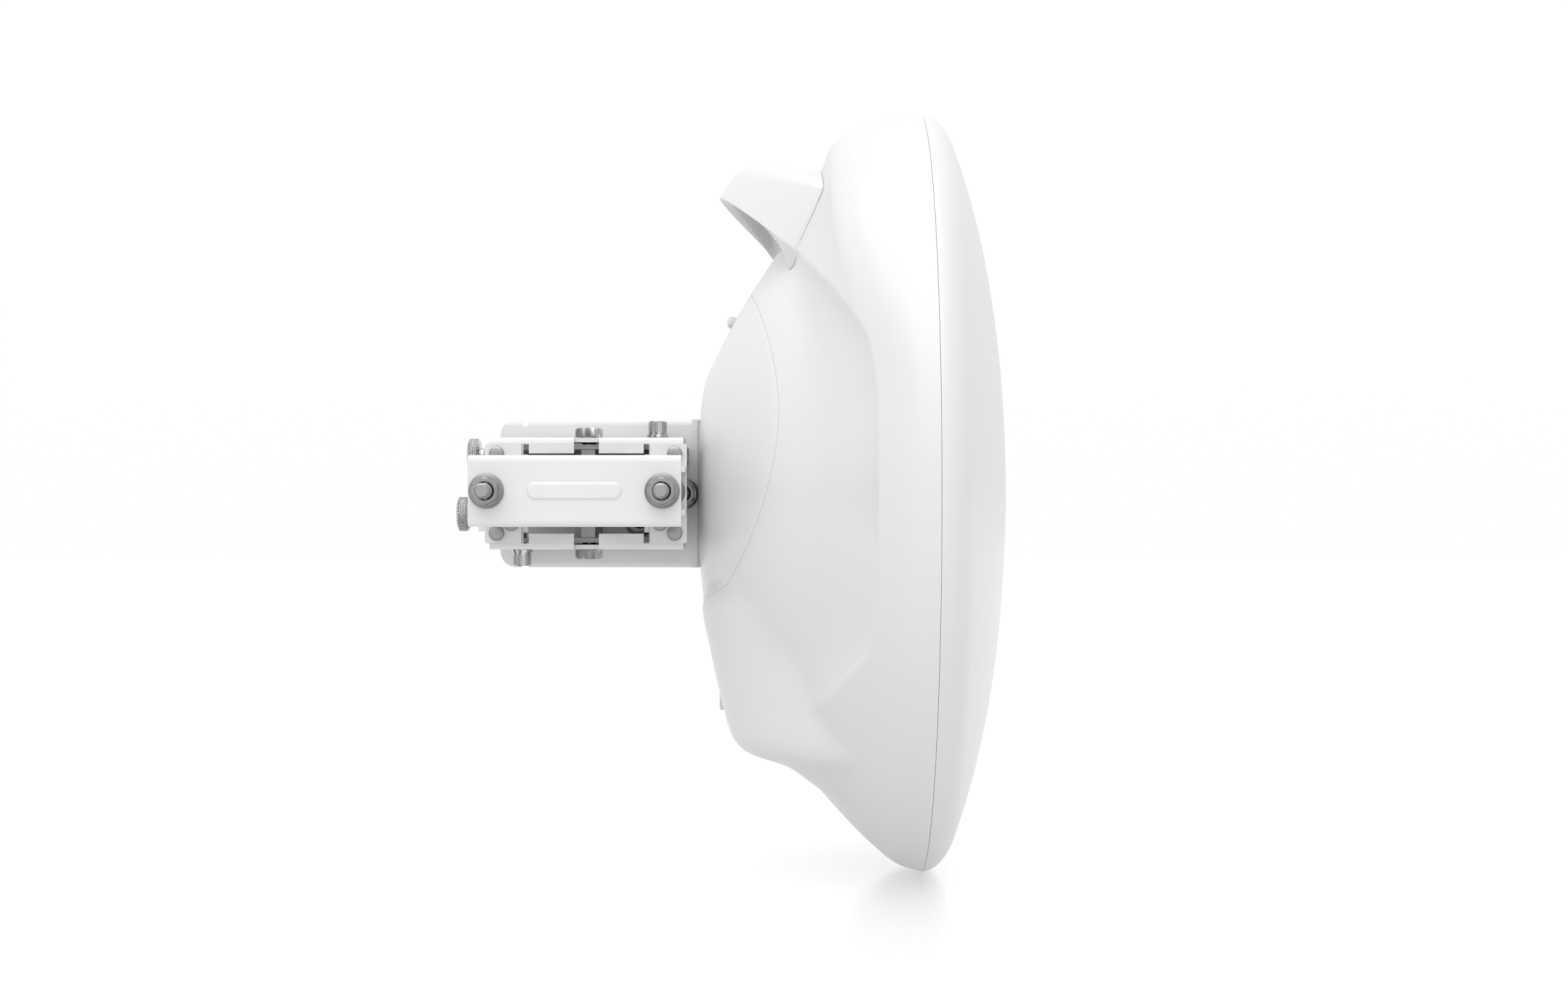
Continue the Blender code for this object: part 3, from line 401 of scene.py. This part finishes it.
def object_from(name, bm):
    """Turn working geometry in millimetres into an object in metres."""
    bmesh.ops.scale(bm, vec=(MM, MM, MM), verts=bm.verts)
    bmesh.ops.recalc_face_normals(bm, faces=bm.faces)
    mesh = bpy.data.meshes.new(name)
    bm.to_mesh(mesh)
    bm.free()
    thing = bpy.data.objects.new(name, mesh)
    bpy.context.scene.collection.objects.link(thing)
    return thing


def add_piece(name, bm, finish, body, replaces=(), smooth_angle=SMOOTH_BELOW):
    """A visible piece with a finish, riding on a body, and the CAD nodes it stands in for."""
    piece = object_from(name, bm)
    mesh = piece.data
    mesh.materials.append(MATERIALS[finish])
    mesh.shade_smooth()
    mesh.set_sharp_from_angle(angle=math.radians(smooth_angle))
    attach(piece, body)
    if replaces:
        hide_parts(*replaces)
    return piece


def skin_rings(rings, sweep_closed=False):
    """Join rings of points into a solid, capped at both ends or closed back onto its first ring."""
    bm = bmesh.new()
    rows = [[bm.verts.new(point) for point in ring] for ring in rings]
    count = len(rows[0])
    for row in range(len(rows) if sweep_closed else len(rows) - 1):
        here = rows[row]
        there = rows[(row + 1) % len(rows)]
        for i in range(count):
            j = (i + 1) % count
            bm.faces.new((here[i], here[j], there[j], there[i]))
    if not sweep_closed:
        bm.faces.new(rows[0])
        bm.faces.new(rows[-1])
    return bm


# For each axis: the direction where an angle is 0, the one where it is 90 degrees, and the axis.
AXES = {
    "X": (Vector((0, 1, 0)), Vector((0, 0, 1)), Vector((1, 0, 0))),
    "Y": (Vector((0, 0, 1)), Vector((1, 0, 0)), Vector((0, 1, 0))),
    "Z": (Vector((1, 0, 0)), Vector((0, 1, 0)), Vector((0, 0, 1))),
}


def turned_rings(axis, centre, stations, segments):
    """Rings about an axis; a station is (place along it, radius or a radius for each angle)."""
    across, up, along = AXES[axis]
    rings = []
    for place, reach in stations:
        ring = []
        for i in range(segments):
            angle = 2 * math.pi * i / segments
            radius = reach(angle) if callable(reach) else reach
            outward = across * math.cos(angle) + up * math.sin(angle)
            ring.append(Vector(centre) + along * place + outward * radius)
        rings.append(ring)
    return rings


def turned(name, axis, centre, stations, finish, body, replaces, segments, bore=False):
    """A turned piece; with a bore its last station meets its first inside the hole."""
    bm = skin_rings(turned_rings(axis, centre, stations, segments), sweep_closed=bore)
    return add_piece(name, bm, finish, body, replaces, smooth_angle=28.0)


def hex_radius(corner, limit=None):
    """Radius of a hexagon at each angle; limit cuts its corners to a circle, as a chamfer does."""
    flat = corner * math.cos(math.pi / 6)

    def reach(angle):
        edge = flat / math.cos((angle % (math.pi / 3)) - math.pi / 6)
        return min(edge, limit) if limit else edge

    return reach


def rounded_rectangle(low, high, radius, shrink=0.0, steps=6):
    """Points around a rectangle with round corners, from its two opposite corners (a, b)."""
    points = []
    reach = radius - shrink
    for side_a, side_b, start in ((1, 1, 0), (-1, 1, 90), (-1, -1, 180), (1, -1, 270)):
        centre_a = (high[0] if side_a > 0 else low[0]) - side_a * radius
        centre_b = (high[1] if side_b > 0 else low[1]) - side_b * radius
        for i in range(steps + 1):
            angle = math.radians(start + 90 * i / steps)
            points.append((centre_a + reach * math.cos(angle), centre_b + reach * math.sin(angle)))
    return points


def box_mm(node):
    """Two opposite corners of a CAD node's box, in millimetres."""
    low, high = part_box(node)
    return low / MM, high / MM


def prism(outline, low, high, axis="Y"):
    """A flat outline, pushed out from low to high along an axis."""
    place = {
        "X": lambda a, b, t: Vector((t, a, b)),
        "Y": lambda a, b, t: Vector((a, t, b)),
    }[axis]
    return skin_rings([[place(a, b, t) for a, b in outline] for t in (low, high)])


def cut_with(target, bm):
    """Cut a hole through a piece and apply the cut."""
    cutter = object_from("cutter", bm)
    step = target.modifiers.new("cut", "BOOLEAN")
    step.object = cutter
    step.solver = "EXACT"
    bpy.context.view_layer.update()
    graph = bpy.context.evaluated_depsgraph_get()
    cut_mesh = bpy.data.meshes.new_from_object(target.evaluated_get(graph))
    target.modifiers.clear()
    target.data = cut_mesh
    target.data.shade_smooth()
    target.data.set_sharp_from_angle(angle=math.radians(SMOOTH_BELOW))
    bpy.data.objects.remove(cutter, do_unlink=True)


def drill(piece, place, near, far, radius, segments):
    """Cut a round hole along X, from near to far of a place."""
    cut_with(piece, skin_rings(turned_rings("X", place, ((near, radius), (far, radius)), segments)))


# ---------------------------------------------------------------- dish
def shell_shares():
    """Ring places from the cover's edge to the rim, closer together under the pod and at the rim."""
    shares = [i / 90 for i in range(91)]
    shares += [0.50 + i * 0.005 for i in range(17)]
    shares += [0.985, 0.992, 0.997]
    return sorted(set(round(share, 4) for share in shares))


def shell_point(share, angle, inset):
    """A point on the back shell, share of the way from the rear cover's edge out to the rim."""
    inner = cover_edge(angle, spare=COVER_SEAM)
    if share == 1.0:
        reach = RIM_RADIUS - inset
        return Vector((RIM_X - 0.1, DISH_Y + reach * math.cos(angle), reach * math.sin(angle)))
    y = inner[0] * (1 - share) + RIM_RADIUS * math.cos(angle) * share
    z = inner[1] * (1 - share) + RIM_RADIUS * math.sin(angle) * share
    return surface_point(y, z, inset)


def shell_ring(share, inset):
    return [shell_point(share, 2 * math.pi * i / AROUND, inset) for i in range(AROUND)]


def port_axes():
    """The port door's rear edge, its length, and its directions along and across, in x and z."""
    start = Vector(PORT_START)
    end = Vector(PORT_END)
    length = (end - start).length
    along = (end - start) / length
    return start, length, along, Vector((-along.y, along.x))


def port_outline(spare, below, above):
    """Side view of the hole for the port door, spare wider than the door at both ends."""
    start, length, along, across = port_axes()
    outline = []
    for reach, side in (
        (-spare, below), (-spare, above), (length + spare, above), (length + spare, below)
    ):
        outline.append(tuple(start + along * reach + across * side))
    return outline


def make_back_shell():
    """The shell from the cover's edge to the rim, with the port's hole and the latch's slot."""
    rings = [shell_ring(0.0, EDGE)]
    rings += [shell_ring(share if share > 0 else 0.004, 0.0) for share in shell_shares()]
    lining = (1.0, 0.97, 0.9, 0.8, 0.7, 0.6, 0.54, 0.5, 0.4, 0.3, 0.2, 0.1, 0.0)
    rings += [shell_ring(share, WALL) for share in lining]
    bm = skin_rings(rings, sweep_closed=True)
    piece = add_piece("shell_skin", bm, "white_plastic", "dish", ("back_shell",))
    reach = PORT_HALF_WIDTH + GAP
    cut_with(piece, prism(port_outline(GAP, -4.8, 7.2), DISH_Y - reach, DISH_Y + reach))
    low, high = box_mm("port_latch")
    rear = low.x - 4
    front = high.x + 8
    bottom = low.z - 0.2
    top = high.z + LATCH_TRAVEL + 0.1
    slot = [(rear, bottom), (front, bottom), (front, top), (rear, top)]
    cut_with(piece, prism(slot, low.y - GAP, high.y + GAP))


def make_rear_cover():
    """The oval cover, with the bracket's four screw holes and the breather's hole."""
    def ring(share, inset):
        points = []
        for i in range(AROUND):
            y, z = cover_edge(2 * math.pi * i / AROUND)
            points.append(surface_point(y * share, COVER_Z + (z - COVER_Z) * share, inset))
        return points

    shares = [0.02] + [i / 40 for i in range(1, 40)] + [0.996]
    rings = [ring(share, 0.0) for share in shares] + [ring(1.0, EDGE)]
    rings += [ring(share, WALL) for share in (1.0, 0.8, 0.6, 0.4, 0.2, 0.02)]
    piece = add_piece("cover_skin", skin_rings(rings), "white_plastic", "dish", ("rear_cover",))
    for place in SCREW_PLACES:
        drill(piece, place, -8, 12, 3.4, 20)
    drill(piece, (BRACKET_X, DISH_Y, VENT_Z), 0, 45, VENT_RADIUS + 0.2, 32)


def radome_outline():
    """Places ahead of the seam and radii, from the tip over the shoulder to the seam."""
    shoulder = 197.0
    outline = []
    for i in range(60):
        radius = 1.0 + (shoulder - 1.0) * i / 59
        sag = 6.0e-4 * radius**2 + 4.75e-9 * radius**4
        outline.append((RADOME_RISE - TIP_SETBACK - sag, radius))
    start = Vector(outline[-1])
    pull = Vector((start.x - 2.9, 204.6))
    settle = Vector((7.5, RIM_RADIUS))
    end = Vector((0.25, RIM_RADIUS))
    for i in range(1, 25):
        t = i / 24
        s = 1 - t
        point = start * s**3 + pull * (3 * s * s * t) + settle * (3 * s * t * t) + end * t**3
        outline.append(tuple(point))
    outline.append((0.08, RIM_RADIUS - EDGE))
    return outline


def make_radome():
    """The front skin; its wall is measured along the axis at the tip and across it at the rim."""
    outer = radome_outline()
    inner = [(x - WALL, radius - WALL * (radius / RIM_RADIUS) ** 6) for x, radius in outer[:-3:4]]
    inner.append((0.08, RIM_RADIUS - WALL))
    rings = turned_rings("X", (RIM_X, DISH_Y, 0), outer + list(reversed(inner)), 256)
    add_piece("radome_skin", skin_rings(rings), "white_plastic", "dish", ("radome",))


def round_corners(points, radii, steps=6):
    """Swap each corner of a polygon for a short curve of its own radius."""
    rounded = []
    count = len(points)
    for i, radius in enumerate(radii):
        corner = points[i]
        before = points[i - 1] - corner
        after = points[(i + 1) % count] - corner
        reach = min(radius, 0.45 * before.length, 0.45 * after.length)
        start = corner + before.normalized() * reach
        end = corner + after.normalized() * reach
        for k in range(steps + 1):
            t = k / steps
            rounded.append(start * (1 - t) ** 2 + corner * (2 * t * (1 - t)) + end * t**2)
    return rounded


def handle_section(t):
    """Corners of the handle's band at t from -1 to 1 across it.

    They run tip, crest, middle and seam, four down the shell to the root, and three back along
    the finger hollow.
    """
    y = HANDLE_HALF_WIDTH * t
    bend = abs(t) ** 1.75

    def on_shell(z):
        return Vector((surface_point(y, z).x - HANDLE_SEAM, DISH_Y + y, z))

    tip = Vector((RIM_X - HANDLE_REACH + 42.2 * bend, DISH_Y + y, HANDLE_TIP_Z - 36.4 * bend))
    crest = tip + Vector((12.4 + 2.0 * bend, 0.0, 17.8 + 14.7 * bend))
    seam = on_shell(math.sqrt((180.0 + 3.6 * abs(t)) ** 2 - y * y))
    crest.x = min(crest.x, seam.x - 0.4)
    root = on_shell(160.0 - 40.0 * min(1.0, (t / 0.87) ** 2) + 6.0 * ramp(0.87, 1.0, abs(t)))
    tip.x = min(tip.x, root.x - 1.2)
    middle = (crest + seam) / 2 + Vector((0.0, 0.0, 1.6 * (1 - bend)))
    points = [tip, crest, middle, seam]
    for share in (0.25, 0.5, 0.75, 1.0):
        points.append(on_shell(seam.z + (root.z - seam.z) * share))
    hollow = 1.0 - ramp(0.55, 0.9, abs(t))
    for share, forward, up in ((0.8, 0.0, 7.0), (0.35, 4.0, 9.0), (0.15, 2.0, 1.0)):
        points.append(tip.lerp(root, share) + Vector((forward, 0.0, up)) * hollow)
    return points


def make_handle():
    """The moulded carry handle, and the meshed pad that lines its finger hollow."""
    radii = [1.0, 7.0, 12.0, 0.6, 0.2, 0.2, 0.2, 0.6, 2.0, 4.0, 2.0]
    rings = [round_corners(handle_section(-1 + 2 * i / 160), radii) for i in range(161)]
    bm = skin_rings(rings)
    add_piece("handle_skin", bm, "white_plastic", "dish", ("carry_handle",), smooth_angle=50.0)
    outward = Vector((-0.55, 0.0, -0.55))
    inward = Vector((0.8, 0.0, 0.8))
    pad = []
    for i in range(61):
        corners = handle_section(GRIP_SHARE * (-1 + 2 * i / 60))
        first = corners[7].lerp(corners[8], 0.35)
        last = corners[10].lerp(corners[0], 0.25)
        line = [first, *corners[8:], last]
        face = [point + outward for point in line]
        pad.append(face + [point + inward for point in reversed(line)])
    add_piece("handle_grip", skin_rings(pad), "grip", "dish", smooth_angle=60.0)


# ---------------------------------------------------------------- fasteners
def flange_nut(node, body):
    """An M8 flange nut that faces the outer jaw's side, on the seat face of its CAD node."""
    low, high = box_mm(node)
    seat = (low + high) / 2
    seat.y = high.y
    bore = M8 + GAP
    stations = [
        (0.0, NUT_FLANGE - 0.25), (0.25, NUT_FLANGE), (1.1, NUT_FLANGE), (1.5, NUT_FLANGE - 0.35),
        (2.9, 7.6), (2.9, hex_radius(NUT_CORNER)), (6.9, hex_radius(NUT_CORNER)),
        (7.6, hex_radius(NUT_CORNER, 6.9)), (8.0, hex_radius(NUT_CORNER, 6.4)),
        (8.0, bore + 0.6), (7.4, bore), (0.0, bore),
    ]
    stations = [(-place, reach) for place, reach in stations]
    turned(node + "_fine", "Y", seat, stations, "zinc", body, (node,), 72, bore=True)


def threaded(start, end, radius, pitch=1.25, depth=0.45):
    """Rings of a thread, drawn as grooves one pitch apart."""
    stations = []
    count = max(1, int(abs(end - start) / pitch))
    way = 1 if end > start else -1
    for i in range(count):
        base = start + way * i * pitch
        crest = [(base + way * share * pitch, radius) for share in (0.4, 0.6)]
        stations += [(base, radius - depth), *crest]
    return stations


def hex_bolt(node, axis, seat, facing, reach, body, thread=22.0, finish="zinc"):
    """An M8 hexagon bolt: seat is under its head, reach its length, thread the cut part of it."""
    head = 5.3
    stations = [
        (head, HEX_13 * 0.78), (head - 0.15, hex_radius(HEX_13, HEX_13 * 0.87)),
        (head - 1.0, hex_radius(HEX_13)), (0.3, hex_radius(HEX_13)), (0.0, HEX_13 * 0.86),
        (0.0, M8),
    ]
    thread_from = -(reach - min(thread, reach - 2.0))
    stations.append((thread_from + 0.5, M8))
    stations += threaded(thread_from, -(reach - 1.2), M8)
    stations += [(-(reach - 0.9), M8 - 0.1), (-reach, M8 - 1.0)]
    stations = [(facing * place, radius) for place, radius in stations]
    turned(node + "_fine", axis, seat, stations, finish, body, (node,), 48)


def make_fasteners():
    """Every nut, bolt, pin and rivet that shows, each in place of its CAD node."""
    for number, side in enumerate((-1, 1), 1):
        seat = (side * CLAMP_BOLT_X, STUD_PLATE_Y + PLATE + GAP, CLAMP_BOLT_Z)
        reach = seat[1] + 58.5
        hex_bolt(f"clamp_bolt_{number}", "Y", seat, 1, reach, "pole_bracket", thread=60.0)
        flange_nut(f"outer_nut_{number}", "outer_clamp")
        flange_nut(f"inner_nut_{number}", "pole_bracket")
    for node in ("tilt_nut", "tilt_lock_nut_top", "tilt_lock_nut_bottom"):
        flange_nut(node, "carriage")
    for end, level in (("top", 1), ("bottom", -1)):
        seat = Vector((0, PIVOT_Y, level * (CHANNEL_HALF_HEIGHT + GAP)))
        hex_bolt(f"azimuth_bolt_{end}", "Z", seat, level, 13.2, "pole_bracket", finish="plated")
        low, high = box_mm(f"azimuth_lock_{end}")
        make_socket_screw(f"azimuth_lock_{end}", (*((low + high) / 2).xy, seat.z), level)
    for node in [name for name in frame["nodes"] if name.startswith(("plate_pin", "jaw_rivet"))]:
        make_rivet(node)


def make_socket_screw(node, seat, level):
    """Socket cap screw with a knurled head, a split washer and a flat washer."""
    def knurl(angle):
        return 5.0 - 0.14 * (0.5 + 0.5 * math.cos(40 * angle))

    socket = hex_radius(2.88)
    stations = [
        (5.6, socket), (9.0, socket), (9.0, 4.2), (8.5, 4.95), (8.1, knurl), (3.3, knurl),
        (3.0, 4.9), (2.75, 4.9), (2.75, 5.2), (1.45, 5.2), (1.45, 5.95), (1.3, 6.0), (0.1, 6.0),
        (0.0, 5.9), (0.0, M6),
    ]
    stations += threaded(-0.6, -8.8, M6, 1.0, 0.35) + [(-9.6, M6 - 0.6)]
    stations = [(level * place, reach) for place, reach in stations]
    turned(node + "_fine", "Z", seat, stations, "bright_steel", "carriage", (node,), 160)


def make_rivet(node):
    """A pin or rivet with a softened head, a plain shank and a closing head behind the plate."""
    low, high = box_mm(node)
    centre = (low + high) / 2
    centre.y = 0.0
    radius = (high.x - low.x) / 2
    near = low.y
    far = high.y
    stations = [
        (near, radius - 1.1), (near + 0.12, radius - 0.6), (near + 0.5, radius - 0.15),
        (near + 0.9, radius), (near + 2.3, radius), (near + 2.3, 2.4), (far - 1.4, 2.4),
        (far - 1.4, 3.4), (far, 2.9),
    ]
    turned(node + "_fine", "Y", centre, stations, "zinc", "pole_bracket", (node,), 48)


def make_knob(node, body, place, head, tip, shank):
    """Thumb screw: a diamond-knurled head, a collar and a threaded shank."""
    steps = 26
    width = KNOB_LENGTH - 2.6
    stations = [(head, 3.0), (head + 0.15, KNOB_RADIUS - 2.0), (head + 0.5, KNOB_RADIUS - 1.3)]

    def knurl(offset):
        def reach(angle):
            lean = offset / width * 5.0 * math.pi / 2
            one = abs(math.sin(15 * angle + lean))
            two = abs(math.sin(15 * angle - lean))
            return KNOB_RADIUS - 0.6 * (1 - min(one, two)) ** 2.0
        return reach

    for i in range(steps + 1):
        offset = width * i / steps
        stations.append((head + 1.3 + offset, knurl(offset)))
    collar = head + KNOB_LENGTH
    stations += [
        (collar - 0.5, KNOB_RADIUS - 1.1), (collar, KNOB_RADIUS - 1.9), (collar, 4.2),
        (collar + 0.2, 4.0), (collar + 1.8, 4.0), (collar + 2.0, 3.8), (collar + 2.0, shank),
    ]
    stations += threaded(collar + 3.0, tip - 1.0, shank, 1.0, 0.3)
    stations.append((tip, shank - 0.6))
    turned(node + "_fine", "X", place, stations, "bright_steel", body, (node,), 240)


# ---------------------------------------------------------------- small parts
def rounded_block(low, high, radius):
    """A box whose edges along Y are rounded, as a stack of rings with softened ends."""
    rings = []
    for y, shrink in ((low.y, 0.5), (low.y + 0.15, 0.15), (low.y + 0.5, 0.0), (high.y - 0.5, 0.0),
                      (high.y - 0.15, 0.15), (high.y, 0.5)):
        outline = rounded_rectangle((low.x, low.z), (high.x, high.z), radius, shrink, steps=5)
        rings.append([Vector((x, y, z)) for x, z in outline])
    return skin_rings(rings)


def make_latch():
    """The sliding catch on the pod, with a ribbed thumb face."""
    low, high = box_mm("port_latch")
    block = rounded_block(low + Vector((0.5, 0, 0)), high, 0.9)
    add_piece("latch_block", block, "white_plastic", "latch", ("port_latch",))
    for number in range(4):
        z = low.z + 1.9 + 2.0 * number
        near = Vector((low.x + 0.02, low.y + 1.5, z))
        far = Vector((low.x + 1.4, high.y - 1.5, z + 1.1))
        rib = rounded_block(near, far, 0.52)
        add_piece(f"latch_rib_{number + 1}", rib, "white_plastic", "latch")


def make_vent():
    """A domed breather plug with a slotted rim."""
    low, high = box_mm("vent_plug")
    centre = (low + high) / 2
    centre.x = low.x
    neck = VENT_RADIUS - 0.3

    def slotted(angle):
        return VENT_RADIUS - 0.25 * (0.5 + 0.5 * math.cos(8 * angle)) ** 4

    stations = [
        (0.0, 0.5), (0.05, 1.3), (0.3, 2.2), (0.8, 2.8), (1.4, slotted), (4.0, slotted),
        (4.3, neck), (high.x - low.x, neck),
    ]
    turned("vent_cap", "X", centre, stations, "white_plastic", "dish", ("vent_plug",), 96)


def make_port_door():
    """The cable port's door, with rounded corners and softened faces."""
    start, length, along, across = port_axes()
    rings = []
    for depth, shrink in ((-0.1, 0.3), (0.15, 0.0), (2.3, 0.0), (2.5, 0.3)):
        ring = []
        for a, b in rounded_rectangle(
            (0.0, -PORT_HALF_WIDTH), (length, PORT_HALF_WIDTH), PORT_CORNER, shrink
        ):
            point = start + along * a + across * depth
            ring.append(Vector((point.x, DISH_Y + b, point.y)))
        rings.append(ring)
    bm = skin_rings(rings)
    add_piece("port_door_skin", bm, "white_plastic", "port_door", ("port_cover",))


def make_gasket():
    """A pale gasket under the yoke's end plate, almost flush with the sheet's edges."""
    low, high = box_mm("bracket_gasket")
    half_width = 23.9
    half_height = 41.3
    outline = rounded_rectangle(
        (DISH_Y - half_width, -half_height), (DISH_Y + half_width, half_height), 1.3)
    bm = prism(outline, low.x - 0.28, high.x + 0.26, "X")
    piece = add_piece("gasket_fine", bm, "grey_rubber", "dish", ("bracket_gasket",))
    for place in SCREW_PLACES:
        drill(piece, place, -8, 4, 3.3, 24)


def make_angle_marks():
    """Short raised graduations on the channel's lips, either side of the pivot bolts."""
    near = STUD_PLATE_Y + PLATE + GAP
    first_z = 22.0
    sides = ((0, 1, 2, 3), (4, 5, 6, 7), (0, 1, 5, 4), (1, 2, 6, 5), (2, 3, 7, 6), (3, 0, 4, 7))
    for end, level in (("top", 1), ("bottom", -1)):
        bm = bmesh.new()
        for side in (-1, 1):
            for number in range(6):
                x = side * (9.5 + 1.9 * number)
                tall = 3.2 if number in (0, 5) else 2.0
                low = min(level * first_z, level * (first_z + tall))
                corners = []
                for y in (near - 0.2, near + 0.4):
                    for a, b in ((-0.3, 0.0), (0.3, 0.0), (0.3, tall), (-0.3, tall)):
                        corners.append(bm.verts.new((x + a, y, low + b)))
                for side_corners in sides:
                    bm.faces.new([corners[i] for i in side_corners])
        add_piece("angle_marks_" + end, bm, "white_paint", "pole_bracket")


def make_jaw_bead():
    """The pressed rib along the middle of the outer jaw's face."""
    half = 19.8
    radius = 4.6
    rings = []
    for inset, rise in ((0.0, -0.02), (0.25, 0.18), (0.7, 0.62), (1.1, 0.78), (1.7, 0.82)):
        ring = []
        for side, start in ((1, -90), (-1, 90)):
            for i in range(25):
                angle = math.radians(start + 180 * i / 24)
                reach = radius - inset
                x = side * half + reach * math.cos(angle)
                ring.append(Vector((x, OUTER_BAR_Y - rise, CLAMP_BOLT_Z + reach * math.sin(angle))))
        rings.append(ring)
    rings.insert(0, [Vector((p.x, OUTER_BAR_Y + 0.6, p.z)) for p in rings[0]])
    add_piece("jaw_bead", skin_rings(rings), "white_paint", "outer_clamp")


# ---------------------------------------------------------------- stage
def make_stage():
    """A pale, faintly glossy floor just under the rim."""
    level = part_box("radome")[0].z - 0.6 * MM
    bpy.ops.mesh.primitive_plane_add(size=14.0, location=(0.18, 0.1, level))
    floor = bpy.context.active_object
    floor.name = "floor"
    made, _, shader = new_material("floor", (0.45, 0.45, 0.45), 0.16)
    shader.inputs["Specular IOR Level"].default_value = 0.3
    shader.inputs["Emission Color"].default_value = (1.0, 1.0, 1.0, 1.0)
    shader.inputs["Emission Strength"].default_value = 0.37
    floor.data.materials.append(made)


def make_sun(name, towards, spread_angle, strength):
    """A very soft, distant light; towards points from the object to the light."""
    light = bpy.data.lights.new(name, "SUN")
    light.angle = math.radians(spread_angle)
    light.energy = strength
    thing = bpy.data.objects.new(name, light)
    thing.rotation_euler = Vector(towards).to_track_quat("Z", "Y").to_euler()
    bpy.context.scene.collection.objects.link(thing)


def make_world():
    """An even white studio, a touch brighter overhead."""
    world = bpy.data.worlds.new("studio")
    bpy.context.scene.world = world
    world.use_nodes = True
    tree = world.node_tree
    sky = tree.nodes["Background"]
    place = tree.nodes.new("ShaderNodeTexCoord")
    split = tree.nodes.new("ShaderNodeSeparateXYZ")
    blend = tree.nodes.new("ShaderNodeValToRGB")
    tree.links.new(place.outputs["Generated"], split.inputs["Vector"])
    tree.links.new(split.outputs["Z"], blend.inputs["Fac"])
    tree.links.new(blend.outputs["Color"], sky.inputs["Color"])
    blend.color_ramp.elements[0].color = (1.0, 1.0, 1.0, 1)
    blend.color_ramp.elements[1].color = (1.06, 1.06, 1.06, 1)
    sky.inputs["Strength"].default_value = 1.0


def make_camera():
    """Level, beside the dish, looking along +Y across the dish's axis."""
    camera = bpy.data.cameras.new("camera")
    camera.lens = 56.09
    camera.sensor_width = 36.0
    thing = bpy.data.objects.new("camera", camera)
    thing.location = (CAMERA_X * MM, (DISH_Y - CAMERA_DISTANCE) * MM, 0.0)
    thing.rotation_euler = (math.pi / 2, 0, 0)
    bpy.context.scene.collection.objects.link(thing)
    bpy.context.scene.camera = thing


dress_cad_nodes()
make_camera()
make_stage()
make_world()
make_sun("overhead", (-0.15, -0.3, 1.0), 70.0, 1.12)
make_sun("front", (-0.1, -1.0, 0.8), 60.0, 0.72)
make_back_shell()
make_rear_cover()
make_radome()
make_handle()
make_fasteners()
make_knob("azimuth_screw", "azimuth_knob", (0, AZIMUTH_SCREW_Y, AZIMUTH_SCREW_Z), -70.8, 6.0, M6)
make_knob("elevation_screw", "elevation_knob", (0, TILT_SCREW_Y, TILT_SCREW_Z), -67.5, 53.0, 2.5)
make_latch()
make_vent()
make_port_door()
make_gasket()
make_angle_marks()
make_jaw_bead()
bpy.context.scene.view_settings.view_transform = "Standard"
